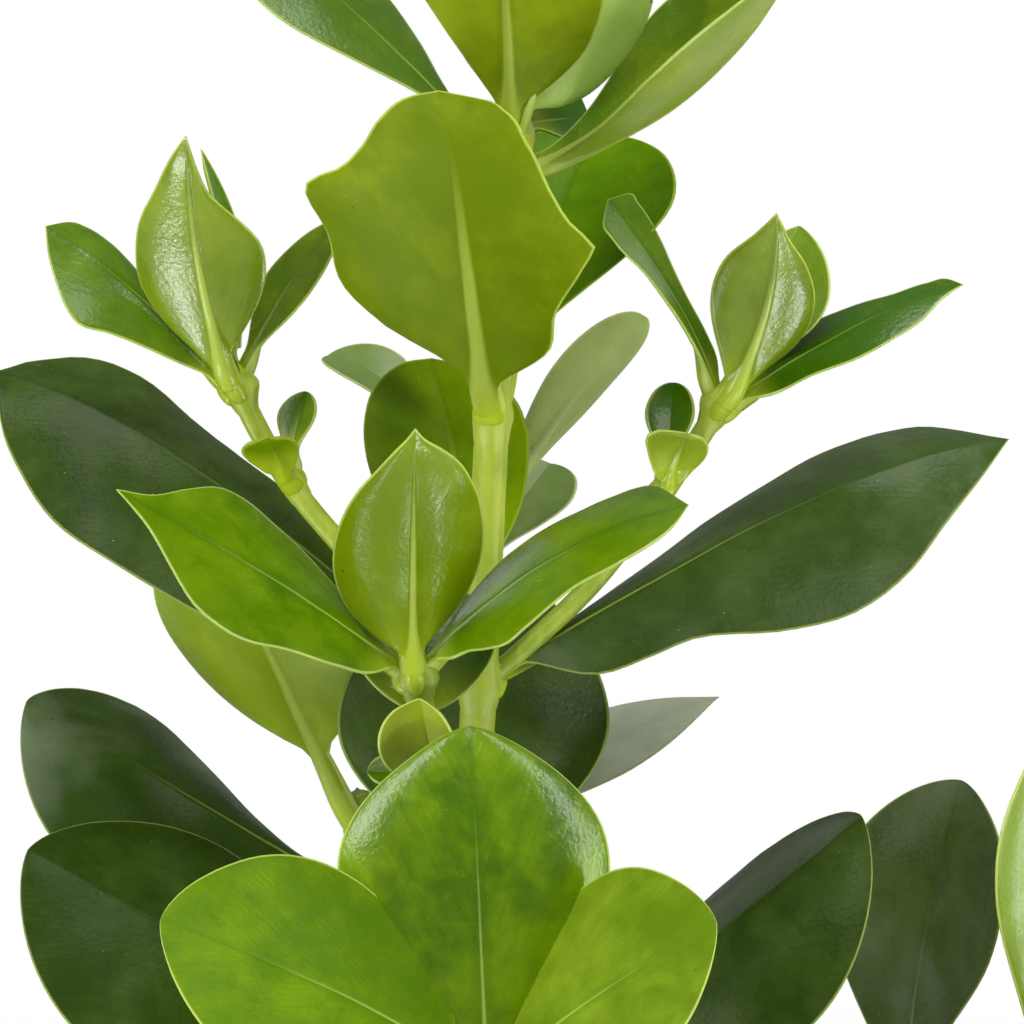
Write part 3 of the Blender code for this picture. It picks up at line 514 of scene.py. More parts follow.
# Leaves: name, joint, position of the tip, finish, and what is special about the shape. left and right list
# (share of the length, half width) for a leaf whose outline is uneven, up to its tip, where it has no width.
LEAVES = [
    # growing tip of the main stem
    ("crown_left", "tip1", (-64, 40, 508), "bright", dict(
        width=34, widest=.62, rise=6, droop=8, cup=-10, fold=-4, turn=-8)),
    ("crown_right", "tip1", (60, -10, 502), "bright", dict(
        width=45, base=.8, rise=-30, droop=-22, cup=12, cup_tip=4, fold=34, turn=14, stalk=.03)),
    ("crown_front", "tip2", (-3, -45, 521), "olive", dict(
        rise=20, droop=14, cup=18,
        right=[(.04, 0), (.16, 6), (.34, 14), (.52, 20), (.66, 23), (.78, 21.5), (.9, 14.5)],
        left=[(.04, 0), (.1, 5), (.16, 10.5), (.24, 16), (.34, 19), (.5, 21), (.66, 21.5), (.8, 18),
              (.92, 10)])),
    ("crown_back", "tip2", (17, 16, 465), "green", dict(width=30, turn=45, lean=-.3)),
    ("crown_inner", "tip2", (23, -22, 516), "inner", dict(
        width=42, widest=.43, base=.48, lean=.16, clasp=30, heel=3, tip_end=.7, turn=-39, stalk=.1,
        stalk_half=1, cup=14)),
    ("crown_small_left", "tip3", (-16, 6, 542), "new", dict(width=22, turn=-60, cup=40, rise=-8)),
    ("crown_small_right", "tip3", (12, 15, 550), "new", dict(width=20, turn=60, cup=40, rise=-8)),
    # pair on the main stem below the growing tip
    ("upper_front", "upper", (-15, -45, 482), "olive", dict(
        rise=-6, droop=10, cup=8, fold=2, stalk_half=3.4, heel=3.2, clasp=54, turn=-10,
        right=[(.09, 0), (.15, 11), (.2, 23), (.25, 29), (.45, 34.5), (.61, 36.5), (.66, 29.5), (.74, 23),
               (.86, 16), (.96, 7)],
        left=[(.09, 0), (.15, 8.5), (.2, 14), (.35, 18.5), (.5, 26), (.57, 28.5), (.61, 25), (.7, 21),
              (.86, 17), (.96, 13), (.985, 9.5)])),
    ("upper_back", "upper", (18, 52, 454), "dusk", dict(width=60, widest=.62, tip_end=.5)),
    # back shoot
    ("back_shoot_front", "back_low", (-18, 30, 407.7), "dusk", dict(
        cup=12,
        left=[(.02, 0), (.1, 6.5), (.2, 10.5), (.32, 14), (.5, 17), (.68, 18.5), (.82, 17), (.91, 13.5),
              (.97, 8.5)],
        right=[(.02, 0), (.1, 14), (.2, 22), (.3, 25), (.44, 26), (.64, 23.5), (.8, 18), (.9, 12),
               (.96, 6.5)])),
    ("back_shoot_right", "back", (30, 50, 413), "pale", dict(
        width=17, widest=.66, base=.5, tip_end=.42, turn=-60, stalk=.06)),
    ("back_shoot_low", "back_low", (9, 74, 372), "pale", dict(width=26, tip_end=.45, turn=10)),
    ("back_shoot_left", "back", (-43, 74, 398), "pale", dict(
        width=17, widest=.75, tip_end=.5, rise=14, droop=38, turn=-14, stalk_half=1.8)),
    # left shoot
    ("left_shoot_front", "left", (-70, -5, 465), "tender", dict(
        rise=-8, droop=6, cup=26, turn=15, sway=8, stalk=.1, clasp=40, facing=(0, -1, 0),
        left=[(.1, 0), (.2, 6.5), (.3, 11), (.44, 14), (.55, 13.5), (.66, 9), (.76, 4), (.85, 2)],
        right=[(.05, 0), (.15, 6.5), (.26, 12.5), (.4, 16), (.5, 15.5), (.64, 13), (.76, 8.5),
               (.88, 4.5)])),
    ("left_shoot_back", "left", (-68, 16, 458), "tender", dict(
        width=9, widest=.5, cup=40, tip_end=.9, stalk_half=1)),
    ("left_shoot_left", "left", (-103, 20, 440), "green", dict(
        turn=-32, cup=-24, fold=-6,
        left=[(.03, 0), (.2, 5), (.34, 8), (.5, 11.5), (.62, 14.5), (.72, 13), (.82, 9.5), (.92, 5)],
        right=[(.03, 0), (.13, 4), (.4, 5.5), (.58, 7), (.76, 9), (.88, 8.5), (.95, 6)])),
    ("left_shoot_right", "left", (-38, 27, 440), "bright", dict(
        width=15, widest=.52, turn=14, cup=0, stalk_half=1.4)),
    ("left_shoot_small_back", "left_low", (-46, 22, 402), "green", dict(width=9)),
    ("left_shoot_small_front", "left_low", (-53.5, 0, 397), "dusk", dict(
        turn=20, cup=14, stalk=.02, stalk_half=1.2,
        left=[(.02, 0), (.1, 2.6), (.25, 4.2), (.45, 5), (.68, 4.6), (.85, 3)],
        right=[(.02, 0), (.1, 3.2), (.25, 5.6), (.45, 6.8), (.65, 6.9), (.82, 5.6), (.93, 3.6)])),
    # right shoot
    ("right_shoot_front", "right", (57, -5, 448), "tender", dict(
        rise=-8, droop=6, cup=26, turn=-30, sway=-16, stalk=.08, clasp=40, facing=(0, -1, 0),
        left=[(.06, 0), (.15, 3), (.32, 9.5), (.44, 11.5), (.56, 11), (.7, 8), (.85, 3)],
        right=[(.06, 0), (.15, 4), (.32, 9.5), (.48, 12), (.64, 12), (.76, 10), (.9, 4)])),
    ("right_shoot_back", "right", (64, 30, 438), "new", dict(
        width=26, widest=.5, cup=36, tip_end=.8, turn=10, rise=-22, stalk=.16, lean=.35)),
    ("right_shoot_left", "right", (21, 10, 448), "green", dict(
        turn=-28, cup=10, stalk_half=1.5,
        left=[(.03, 0), (.28, 2.5), (.5, 4.5), (.68, 6.5), (.78, 9), (.87, 9.5), (.94, 8.5)],
        right=[(.02, 0), (.12, 3), (.25, 3.5), (.45, 3.5), (.6, 4.5), (.72, 6), (.9, 7), (.96, 6.5)])),
    ("right_shoot_right", "right", (99, 10, 429), "green", dict(
        turn=22, cup=-10, fold=-4,
        right=[(.03, 0), (.11, 4), (.35, 7.5), (.52, 9.5), (.66, 9), (.8, 6.5), (.91, 2)],
        left=[(.03, 0), (.12, 6), (.25, 10), (.42, 11.5), (.56, 9.5), (.72, 6.5), (.88, 6), (.96, 4.5)])),
    ("right_shoot_small_back", "right_low", (36, 22, 404), "green", dict(width=11, tip_end=.5)),
    ("right_shoot_small_front", "right_low", (38.5, 0, 398), "tender", dict(
        turn=-20, cup=14, stalk=.02, stalk_half=1.2,
        left=[(.02, 0), (.1, 2.8), (.25, 5), (.45, 6.6), (.65, 6.4), (.82, 5), (.93, 3)],
        right=[(.02, 0), (.1, 2.6), (.25, 4.6), (.45, 6.4), (.68, 7.8), (.84, 7.2), (.94, 4.8)])),
    # front shoot
    ("front_shoot_front", "front", (-20, -60, 414), "mellow", dict(
        stalk_half=1.3, clasp=30, facing=(0, -1, 0),
        left=[(.05, 0), (.1, 2.5), (.15, 6), (.26, 11.5), (.38, 14.5), (.5, 15.5), (.62, 14.8), (.74, 12.4),
              (.83, 9.4), (.9, 5.4), (.945, 2.2)],
        right=[(.05, 0), (.1, 6), (.2, 13), (.32, 16.5), (.44, 17), (.56, 15.5), (.7, 11.8), (.81, 7.3),
               (.9, 3.7), (.95, 1.6)])),
    ("front_shoot_left", "front", (-82, -60, 401), "green", dict(
        turn=-30, cup=-6, fold=0, rise=5, droop=5,
        left=[(.03, 0), (.08, 5.5), (.22, 12), (.4, 17), (.5, 20.5), (.6, 21.5), (.68, 20), (.8, 11.5),
              (.88, 5.5)],
        right=[(.03, 0), (.16, 6), (.33, 12), (.5, 17), (.62, 19), (.7, 18), (.8, 11.5), (.88, 5)])),
    ("front_shoot_right", "front", (37, -50, 395), "green", dict(
        turn=13, cup=-16, fold=0, rise=18, droop=20, stalk_half=1.8,
        left=[(.04, 0), (.15, 8), (.25, 13.5), (.35, 17), (.5, 17.5), (.77, 17.5), (.86, 17), (.92, 14.5)],
        right=[(.04, 0), (.1, 6), (.18, 10), (.25, 15), (.31, 18), (.4, 17.5), (.6, 14), (.74, 13.5),
               (.86, 11), (.95, 6)])),
    ("front_shoot_back", "front_low", (-19, -22, 370), "green", dict(
        width=33, widest=.5, base=.5, stalk=.02)),
    ("front_shoot_rolled", "front_foot", (-19.5, -57, 354.5), "rolled", dict(
        width=20, widest=.55, base=.6, tip_end=.4, lean=-.1, cup=80, turn=180, rise=22, droop=-8, stalk=.05,
        stalk_half=1.4)),
    ("front_shoot_small", "front_foot", (-31, -43, 334), "green", dict(width=8, stalk_half=1, turn=-40)),
    # old leaves of the main stem, and those of the second and third stems behind it
    ("middle_left", "middle", (-118, 50, 400), "deep", dict(
        turn=-20, cup=-20, fold=-10, rise=0, droop=22, wave=2.5, waves=2, phase=.15,
        right=[(.06, 0), (.25, 7), (.4, 12), (.55, 17.5), (.7, 22), (.82, 22), (.92, 16)],
        left=[(.06, 0), (.25, 17), (.4, 27), (.55, 32), (.7, 30), (.82, 23), (.92, 14)])),
    ("middle_right", "middle", (112, 30, 389), "dusty", dict(
        turn=20, cup=-30, fold=-12, rise=4, droop=20,
        left=[(.06, 0), (.22, 9), (.35, 15), (.5, 21), (.62, 25.5), (.75, 28), (.86, 26), (.94, 18)],
        right=[(.06, 0), (.15, 12), (.25, 15.5), (.33, 17), (.48, 26.5), (.6, 30), (.72, 26.5), (.83, 17.5),
               (.94, 7)])),
    ("lower_back", "lower", (-7, 53, 349), "deep", dict(width=64, widest=.48, tip_end=.5, rise=-14)),
    ("second_right", "second_mid", (49, 70, 316), "grey", dict(width=29, turn=10, cup=-10, tip_end=1.05)),
    ("second_front", "second", (-72, 35, 368), "lime", dict(
        width=58, widest=.56, base=.55, turn=45, stalk=.24, stalk_half=2.9, cup=10, rise=-4)),
    ("second_left", "second_mid", (-112, 40, 324), "dusty", dict(
        width=48, widest=.64, turn=-38, cup=-32, fold=-8, rise=-8, droop=4, lean=-.16)),
    ("low_left", "low", (-109, 5, 300), "deep", dict(width=63, widest=.62, turn=-45, cup=-24, fold=-12)),
    ("low_right", "low", (78, -5, 311), "deep", dict(
        width=57, widest=.62, turn=28, rise=-6, droop=-2, cup=-34, fold=-12, lean=.12)),
    ("third_back", "third", (104, 40, 305), "dusty", dict(width=50, widest=.62)),
    ("third_shoot_front", "third_right", (128, -9, 343), "new", dict(width=32, cup=20)),
    ("third_shoot_back", "third_right", (142, 40, 330), "lime", dict(width=40, cup=10, rise=6)),
    ("sprig_back", "sprig", (-9, -58, 349), "fresh", dict(
        width=62, widest=.55, base=.45, tip_end=.66, stalk=.04, turn=-5, cup=-38, cup_tip=-30, fold=-2,
        rise=2, droop=14)),
    ("sprig_left", "sprig", (-72, -95, 319), "meadow", dict(
        width=57, widest=.53, base=.54, stalk=.08, turn=-42, cup=0, fold=0)),
    ("sprig_right", "sprig", (42, -90, 317), "lime", dict(
        width=52, widest=.56, base=.36, stalk=.05, turn=38, cup=0, fold=0, rise=8, droop=8, lean=-.08)),
    ("sprig_front", "sprig", (8, -128, 285), "lime", dict(width=44, turn=4, cup=0)),
    # leaves below the shoots, down to the rim of the pot
    ("second_low_left", "second_low", (-108, 92, 226), "deep", dict(width=54, turn=-10, cup=-14, fold=-6)),
    ("second_low_back", "second_low", (-30, 128, 236), "deep", dict(width=50, cup=-14, fold=-6)),
    ("third_front", "third", (118, -62, 250), "deep", dict(width=48, turn=6, cup=-10)),
    ("third_low_front", "third_low", (92, -78, 196), "deep", dict(width=52, turn=6, cup=-14, fold=-6)),
    ("third_low_back", "third_low", (120, 102, 206), "deep", dict(width=52, turn=-6, cup=-14, fold=-6)),
    ("base_front", "base", (-52, -108, 205), "deep", dict(width=54, turn=-4, cup=-14, fold=-6)),
    ("base_back", "base", (25, 108, 206), "deep", dict(width=46, turn=4, cup=-14, fold=-6, rise=4))]

# Rows of points along the blade and along the stalk's foot, and points from the midrib to the margin
LEAF_ROWS, HEEL_ROWS, LEVELS = 46, 10, 8
# Thickness of the blade and of the stalk, and how far the rib stands out below the blade, in millimetres
BLADE, STALK, RIB = .8, 2.2, 1.0
# How far a leaf's joint end stands off the middle of its stem, and how many steps the cupping takes
SEAT_OUT, CUP_STEPS = 1.6, 12


def through(listed, q):
    """A smooth curve through (share, half width) pairs, read at q."""
    at, wide = np.array(listed + [(1, 0)], float).T
    slope = np.gradient(wide, at)
    k = np.clip(np.searchsorted(at, q) - 1, 0, len(at) - 2)
    span = at[k + 1] - at[k]
    t = np.clip((q - at[k]) / span, 0, 1)
    return ((2 * t**3 - 3 * t**2 + 1) * wide[k] + (t**3 - 2 * t**2 + t) * span * slope[k]
            + (3 * t**2 - 2 * t**3) * wide[k + 1] + (t**3 - t**2) * span * slope[k + 1])


def half_width(form, q, side):
    """Half width of the leaf at each share q of its length, on its left (-1) or right (+1)."""
    listed = form["left"] if side < 0 else form["right"]
    if listed:
        blade = np.maximum(through(listed, q), 0)
    else:
        share = np.clip((q - form["stalk"]) / (1 - form["stalk"]), 0, 1)
        slender = form["base"] + (form["tip_end"] - form["base"]) * eased(.35, .95, share)
        power = math.log(.5) / math.log(form["widest"])
        blade = .5 * form["width"] * np.maximum(np.sin(np.pi * share**power), 0) ** slender
        blade = blade * (1 + side * form["lean"])
    stalk = form["stalk_half"] * (1 - eased(.1, .7, q))
    return np.where(q >= 1, 0, (blade**2.5 + stalk**2.5) ** .4)


def upper_side(form, start, tip, q, half, share, side):
    """Points of the upper side at shares q along and share of the half width across, and which way is up
    and which way is across at each."""
    reach = np.array(tip, float) - start
    length = np.linalg.norm(reach)
    ahead = reach / length
    up = unit(np.array([0, 0, 1.0]) - ahead[2] * ahead)
    turn = math.radians(form["turn"])
    up = math.cos(turn) * up + math.sin(turn) * np.cross(ahead, up)
    right = np.cross(ahead, up)
    rise, droop, sway = (math.tan(math.radians(form[key])) for key in ("rise", "droop", "sway"))
    first = length / 3 * (ahead + rise * up + sway * right)
    second = reach - length / 3 * (ahead - droop * up - sway * right)
    t = q[..., None]
    middle = 3 * (1 - t) ** 2 * t * first + 3 * (1 - t) * t**2 * second + t**3 * reach
    heading = 3 * (1 - t) ** 2 * first + 6 * (1 - t) * t * (second - first) + 3 * t**2 * (reach - second)
    heading = heading / np.linalg.norm(heading, axis=-1, keepdims=True)
    across = right - (heading @ right)[..., None] * heading
    across = across / np.linalg.norm(across, axis=-1, keepdims=True)
    normal = np.cross(across, heading)
    cup_tip = form["cup"] * .5 if form["cup_tip"] is None else form["cup_tip"]
    cup = np.radians(form["cup"] + (cup_tip - form["cup"]) * q)
    fold = math.radians(form["fold"])
    out, raised = np.zeros_like(q), np.zeros_like(q)
    for k in range(CUP_STEPS):
        slope = fold + cup * share * (k + .5) / CUP_STEPS
        out = out + np.cos(slope) * share / CUP_STEPS
        raised = raised + np.sin(slope) * share / CUP_STEPS
    swing = 2 * math.pi * (form["waves"] * q + form["phase"]) + np.where(side < 0, 0, .6 * math.pi)
    ripple = np.sin(swing) * form["wave"] * share**2 * eased(.15, .4, q) * np.minimum(1, half / 6)
    face = start + middle + across * (side * half * out)[..., None]
    face = face + normal * (half * raised + ripple)[..., None]
    slope = (fold + cup * share)[..., None]
    lift = normal * np.cos(slope) - across * (side[..., None] * np.sin(slope))
    return face, lift, across


# Once round a leaf, as (side, level from the midrib, under): the upper side from left to right, the right
# margin, the under side and the left margin
LEAF_RING = ([(-1, k, 0) for k in range(LEVELS - 1, 0, -1)] + [(1, k, 0) for k in range(LEVELS)]
             + [(1, LEVELS - 1, .5)]
             + [(1, k, 1) for k in range(LEVELS - 1, 0, -1)] + [(-1, k, 1) for k in range(LEVELS)]
             + [(-1, LEVELS - 1, .5)])


def make_leaf(joint, tip, special, tone):
    """One leaf with its stalk, as a closed mesh with its measures noted for the material."""
    form = {**USUAL, **special}
    tip = np.array(tip, float)
    seat = JOINTS[joint]
    ahead, stem_radius = growth(joint)
    outward = np.array(form["facing"], float) if form["facing"] else tip - seat
    outward = unit(outward - outward.dot(ahead) * ahead)
    start = seat + SEAT_OUT * outward
    length = np.linalg.norm(tip - start)
    side, level, under = np.array(LEAF_RING, float).T
    level = level.astype(int)
    count = len(LEAF_RING)

    def ring(q):
        """Points of the ring at this share of the length, and the distances kept for the material."""
        at = np.full(count, q)
        half = np.where(side < 0, half_width(form, at, -1), half_width(form, at, 1))
        safe = np.maximum(half, 1e-4)
        rib = max(.3, form["stalk_half"] * (.72 * (1 - .85 * q) + .28 * (1 - eased(.03, .22, q))))
        edge = np.minimum(1.0, .14 * safe)
        inner = [0 * safe, np.minimum(.45 * rib, .16 * safe), np.minimum(.9 * rib, .32 * safe),
                 np.minimum(1.5 * rib, .48 * safe)]
        outer = [inner[3] + (safe - edge - inner[3]) * part for part in (.33, .68, 1)] + [safe]
        distance = np.choose(level, inner + outer)
        face, lift, across = upper_side(form, start, tip, at, half, distance / safe, side)
        # a natural unevenness, the same through the leaf's thickness
        uneven = np.array([noise.noise(Vector(spot) / 15) * .5 + noise.noise(Vector(spot) / 5.5) * .1
                           for spot in face])
        face = face + lift * (uneven * np.minimum(1, safe / 8))[:, None]
        groove = .28 * (1 - q) * np.exp(-(distance / (.55 * rib)) ** 2) * eased(.02, .15, q)
        stalk = 1 - eased(.05, .28, q)
        ridge = .5 + .5 * np.cos(np.pi * np.minimum(1, distance / (1.5 * rib)))
        ridge = ridge * (RIB * (1 - .8 * q) * (1 - eased(.8, .96, q)) + (STALK - BLADE) * stalk)
        ends = 1 - eased(.9, 1, q) * .7
        blade = (BLADE * (1 + stalk) * np.where(distance > safe - edge * .5, .55, 1)) * ends
        depth = np.where(under == 0, groove, under * (blade + ridge))
        face = face - lift * depth[:, None]
        face = face + across * (np.where(under == .5, side * .22 * ends, 0))[:, None]
        return face, distance, safe - distance, distance / rib, across

    # the blade's first ring is the first one whose ridge stands clear of the stem
    for q_first in np.linspace(0, .12, 25):
        low = ring(float(q_first))[0][(under == 1) & (level == 0)][0] - seat
        if low.dot(outward) > girth(stem_radius, low.dot(ahead), 1) + .6:
            break
    spots = q_first + (1 - q_first) * (.5 - .5 * np.cos(np.pi * np.linspace(0, 1, LEAF_ROWS)))
    first, _, _, _, across = ring(spots[0])
    climb = (first[(under == 1) & (level == 0)][0] - seat).dot(ahead)
    beside = unit(across[0] - across[0].dot(ahead) * ahead - across[0].dot(outward) * outward)

    # below it the stalk's foot clasps the stem, thins out downward and ends on a ring below the joint
    rows, marks = [], []
    share = np.array([0, .2, .4, .58, .72, .84, .93, 1])[level]
    for t in 1 - np.arange(HEEL_ROWS) / HEEL_ROWS:
        s = climb - t * (climb + form["heel"])
        clasp = math.radians(form["clasp"]) * stem_radius
        wide = (form["stalk_half"] + (clasp - form["stalk_half"]) * eased(2, -2, s)) * (1 - t ** 4) ** .6
        around = side * share * wide / stem_radius
        swell = .12 + 1.2 * (1 - t) ** .8 * np.sqrt(1 - share**2)
        lift = np.where(under == 1, swell, np.where(under == .5, .05, -1.2))
        away = girth(stem_radius, s, np.cos(around)) + lift
        foot = seat + ahead * s + (outward * np.cos(around)[:, None]
                                   + beside * np.sin(around)[:, None]) * away[:, None]
        blend = (1 - t) ** 2.4
        rows.append(foot * (1 - blend) + first * blend)
        marks.append((share * wide, (1 - share) * wide + .25, share * 1.4, np.zeros(count)))
    for q in spots:
        face, distance, edge, rib, _ = ring(float(q))
        rows.append(face)
        marks.append((distance, edge, rib, np.full(count, q)))
    rows = [np.repeat(rows[0].mean(axis=0)[None], count, 0)] + rows
    marks = [marks[0]] + marks

    sheet, column, row = wrapped(count, len(rows) - 1)
    kept = np.array(marks)[row, :, column]
    for k, measure in enumerate(("across", "margin", "rib", "along")):
        note(sheet, measure, kept[:, k])
    note(sheet, "reach", kept[:, 3] * length)
    note(sheet, "side", side[column])
    note(sheet, "under", under[column])
    note(sheet, "tone", np.full(len(row), tone))
    return bent(sheet, np.array(rows)[row, column])


# How plainly the side veins show
VEIN = .14


def seen(red, green, blue):
    """A colour given as it looks on a screen, as the shader takes it."""
    return ((red / 255) ** 2.2, (green / 255) ** 2.2, (blue / 255) ** 2.2, 1)


def leaf_finish(name, rough, under_rough, gloss, dark, light, under_dark, under_light, edge, midrib=.5,
                under_midrib=.35, bloom=0, line=None):
    """Skin of a leaf: clouded green above with a pale midrib and faint slanting veins, duller below, with
    painted shade beside the midrib and grey patches of painted sheen above. midrib, under_midrib and the
    sheen share say how plainly midrib and painted sheen show, and line is the midrib's own colour."""
    skin = Finish(name, Specular_IOR_Level=gloss)
    where = skin.place()
    reach, across, margin, rib, below, q, side, tone = (skin.measure(key) for key in (
        "reach", "across", "margin", "rib", "under", "along", "side", "tone"))
    broad = skin.cloud(where, 32, 3, .55)
    patch = skin.cloud(where, 130, 4, .6, .4)
    fine = skin.cloud(where, 900, 2)
    slant = reach * .42 - across
    combed = skin.node("ShaderNodeCombineXYZ", {}, [slant * .9, (reach + across) * .04 + side * 5, tone * 9])
    streak = skin.cloud(combed, 1, 3, .6)
    wave = slant * 4.2 + patch * 4 + broad * 4
    vein_line = skin.band(wave.math("SINE", wave), .1, 1.0) * skin.band(across, .5, 3)
    vein_line = vein_line * skin.band(patch, .45, .75)
    fleck = skin.band(skin.cloud(where, 520, 1), .80, .84)
    dust = skin.band(skin.cloud(where, 1500, 1), .80, .83)
    mottle = skin.band(broad * .65 + patch * .50 + streak * .13 + tone * .35, .42, 1.02)
    upper = skin.mix(mottle, dark, light)
    # painted shade: the upper side darkens in a band along the midrib's groove
    upper = skin.mix(skin.band(rib, 3.2, .9) * .35, upper, dark)
    upper = skin.mix(vein_line * VEIN, upper, light)
    upper = skin.mix(skin.band(rib, .40, .12) * skin.band(q, .85, .2) * midrib, upper, line or edge)
    lower = skin.mix(mottle, under_dark, under_light)
    lower = skin.mix(vein_line * (VEIN * .7), lower, under_dark)
    # painted shade: the under side darkens on both flanks of the raised rib
    lower = skin.mix(skin.band(rib, 2.6, 1.2) * .3, lower, under_dark)
    lower = skin.mix(skin.band(rib, 1.15, .5) * skin.band(q, .85, .35) * under_midrib, lower, edge)
    # painted sheen: soft grey patches over the upper side stand in for light glancing off the leaf
    painted_sheen_patches = skin.band(skin.cloud(where, 26, 2, .5, 1.2), .48, .72)
    upper = skin.mix(painted_sheen_patches * bloom, upper, seen(124, 134, 114))
    below = skin.band(below, .4, .6)
    colour = skin.mix(below, upper, lower)
    colour = skin.mix(skin.band(reach, 12, 1) * .85, colour, seen(150, 170, 36))
    colour = skin.mix(skin.band(margin, .5, .15) * .75, colour, edge)
    colour = skin.mix(fleck * .6, colour, seen(50, 55, 20))
    colour = skin.mix(dust * .5, colour, seen(200, 210, 180))
    skin.feed(Base_Color=colour,
              Roughness=below * (under_rough - rough) + patch * .16 + fine * .06 + (rough - .11))
    skin.bump(fine * .5 + vein_line * .15 + patch * .5 + streak * .12, .16)
    return skin.material


# Name, roughness above and below, gloss, what is special, and the colours: dark and light above and below,
# then the margin's
LOOKS = [
    ("deep", .28, .45, .1, dict(bloom=.04),
     (42, 60, 18), (70, 90, 36), (92, 112, 26), (124, 142, 54), (140, 156, 78)),
    # this finish is a lighter copy of deep, painted light, with more grey painted sheen
    ("dusty", .28, .45, .14, dict(midrib=.75, bloom=.3),
     (54, 74, 28), (86, 104, 56), (92, 112, 26), (124, 142, 54), (140, 156, 78)),
    # this finish's pale grey upper side is painted reflection of the bright room on a leaf seen at a glancing
    # angle
    ("grey", .45, .45, .15, {},
     (150, 157, 134), (182, 188, 166), (92, 112, 40), (124, 142, 70), (150, 160, 110)),
    ("green", .24, .36, .38, {},
     (54, 90, 0), (98, 127, 4), (108, 134, 26), (146, 166, 64), (172, 190, 90)),
    ("bright", .26, .36, .34, {},
     (76, 108, 4), (130, 150, 26), (112, 134, 30), (150, 166, 70), (176, 194, 96)),
    ("fresh", .21, .4, .38, {},
     (62, 96, 0), (126, 158, 2), (110, 144, 16), (150, 174, 54), (184, 202, 104)),
    ("lime", .36, .4, .2, {},
     (90, 118, 10), (138, 166, 38), (114, 138, 18), (156, 176, 54), (186, 204, 100)),
    ("meadow", .36, .4, .1, {},
     (76, 110, 0), (120, 152, 6), (118, 146, 14), (158, 180, 48), (186, 204, 100)),
    ("olive", .32, .42, .08, dict(under_midrib=.6),
     (60, 96, 2), (96, 130, 12), (98, 121, 2), (144, 163, 28), (180, 196, 84)),
    ("tender", .26, .22, .36, dict(under_midrib=.7),
     (66, 106, 2), (106, 142, 14), (88, 110, 4), (124, 146, 38), (172, 190, 80)),
    ("mellow", .26, .19, .24, dict(under_midrib=.55),
     (66, 106, 2), (106, 142, 14), (104, 128, 4), (146, 170, 42), (186, 202, 96)),
    ("new", .28, .3, .3, dict(under_midrib=.4),
     (112, 144, 30), (146, 172, 66), (112, 138, 34), (148, 170, 76), (190, 206, 110)),
    # this finish has very pale colours, painted light that stands in for light shining through the young leaf
    ("inner", .28, .3, .3, {},
     (146, 172, 60), (176, 198, 100), (180, 216, 90), (204, 232, 124), (216, 228, 140)),
    ("rolled", .34, .36, .2, dict(midrib=.9, line=seen(96, 72, 20)),
     (146, 162, 40), (182, 198, 86), (128, 150, 40), (160, 178, 80), (196, 208, 116)),
    ("pale", .38, .5, .3, {},
     (102, 126, 56), (142, 160, 102), (150, 168, 90), (184, 198, 130), (178, 190, 126)),
    # this finish, a slightly darker copy of olive below, is painted shade for leaves lying in the shade of
    # others
    ("dusk", .34, .45, .04, {},
     (58, 96, 2), (96, 130, 12), (86, 116, 0), (130, 156, 2), (150, 168, 56))]
FINISHES = {}
for name, rough, under_rough, gloss, special, *colours in LOOKS:
    colours = [seen(*colour) for colour in colours]
    FINISHES[name] = leaf_finish("leaf_" + name, rough, under_rough, gloss, *colours, **special)

for name, joint, tip, finish, special in LEAVES:
    leaf = make_leaf(joint, tip, special, chance.uniform(-.5, .5))
    leaf.data.materials.append(FINISHES[finish])
    young = any(word in name for word in ("crown", "upper", "shoot", "sprig"))
    settle(leaf, f"leaf_{name}_blade", "leaf_young" if young else "leaf_old", f"leaf_{name}")

# The stems come last, because each joint swells most toward the leaves that sit on it
for name, branches in STEMS.items():
    tubes = []
    for points, thick, thin in branches:
        path = along(points, PATH_POINTS)
        pulls = []
        for _, joint, tip, _, _ in LEAVES:
            seat = JOINTS[joint]
            if np.linalg.norm(path - seat, axis=1).min() < ON_SHOOT:
                ahead, _ = growth(joint)
                outward = np.array(tip, float) - seat
                pulls.append((seat, unit(outward - outward.dot(ahead) * ahead)))
        tubes.append(make_stem_tube(points, thick, thin, pulls))
    shoots = tubes[0]
    for tube in tubes[1:]:
        combine(shoots, "UNION", tube)
    shoots.data.materials.append(flesh.material)
    pick(shoots)
    bpy.ops.object.shade_smooth()
    settle(shoots, name + "_shoots", "stem", name)


# Camera: in front of the plant and a little above it, with a long lens on its upper half

AIM, DISTANCE, ABOVE = .38, 1.1, math.radians(15)
bpy.ops.object.camera_add(location=(0, -DISTANCE * math.cos(ABOVE), AIM + DISTANCE * math.sin(ABOVE)),
                          rotation=(math.pi / 2 - ABOVE, 0, 0))
camera = bpy.context.object
camera.data.lens = 175.8
camera.data.clip_end = 50
bpy.context.scene.camera = camera


# Light: on each side a tall narrow soft box and two small bright boards low on the table, a wide board
# behind, then a soft box overhead and one in front. Each has a place, a width, a height and a power in watts.

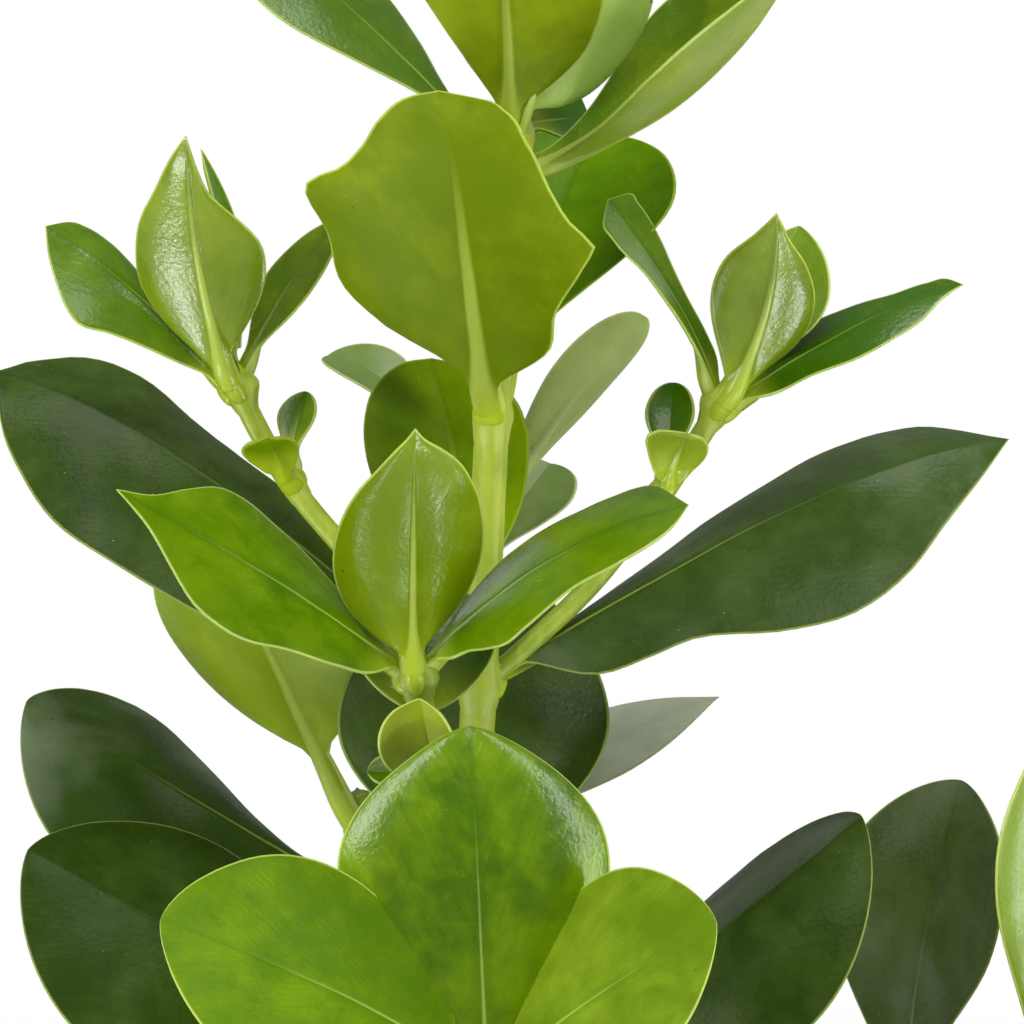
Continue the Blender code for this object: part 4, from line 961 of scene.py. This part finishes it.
LAMPS = [
    ((-.52, -.38, .66), .12, .5, 2.6), ((.60, -.28, .66), .07, 1.1, 3.4),
    ((-.44, -.22, .03), .14, .14, 1.3), ((.46, -.20, .03), .14, .14, 1.0),
    ((-.30, -.38, .08), .08, .08, .2), ((.20, -.45, .02), .10, .10, .8),
    ((-1.25, 1.15, .75), 1.8, .7, 3.2), ((1.25, 1.15, .75), 1.8, .7, 3.2),
    ((-.05, .12, 2.0), 1.15, .6, 15), ((.2, -1.3, 1.9), 1.0, 1.0, 14)]
for place, wide, high, power in LAMPS:
    bpy.ops.object.light_add(type="AREA", location=place)
    lamp = bpy.context.object
    lamp.data.shape = "RECTANGLE"
    lamp.data.size, lamp.data.size_y = wide, high
    lamp.data.energy = power
    lamp.visible_camera = False
    lamp.rotation_euler = (Vector((0, 0, AIM)) - Vector(place)).to_track_quat("-Z", "Y").to_euler()

world = bpy.data.worlds.new("pale_room")
world.use_nodes = True
bpy.context.scene.world = world
nodes, links = world.node_tree.nodes, world.node_tree.links
blend = nodes.new("ShaderNodeMixShader")
links.new(nodes.new("ShaderNodeLightPath").outputs["Is Camera Ray"], blend.inputs[0])
# the room's light on the plant, then the white that is seen behind it
ROOM_LIGHT, WHITE = .22, 1
for socket, strength in ((1, ROOM_LIGHT), (2, WHITE)):
    glow = nodes.new("ShaderNodeBackground")
    glow.inputs["Color"].default_value = (1, 1, 1, 1)
    glow.inputs["Strength"].default_value = strength
    links.new(glow.outputs[0], blend.inputs[socket])
links.new(blend.outputs[0], nodes["World Output"].inputs["Surface"])

bpy.ops.mesh.primitive_plane_add(size=30, location=(0, 0, -.0004))
floor = bpy.context.object
floor.name = "studio_floor"
paper = Finish("white_paper", Roughness=.9, Specular_IOR_Level=.1, Base_Color=(.82, .82, .82, 1))
reach = paper.node("ShaderNodeVectorMath", {"operation": "LENGTH"}, [paper.place()], "Value")
seen_far = paper.band(reach, .30, .75) * paper.node("ShaderNodeLightPath", {}, {}, "Is Camera Ray")
glow = paper.node("ShaderNodeEmission", {}, {"Strength": WHITE})
both = paper.node("ShaderNodeMixShader", {}, [seen_far, Wire(paper, paper.shader.outputs[0]), glow])
paper.tree.links.new(both.socket, paper.tree.nodes["Material Output"].inputs["Surface"])
floor.data.materials.append(paper.material)

bpy.context.scene.view_settings.view_transform = "Standard"
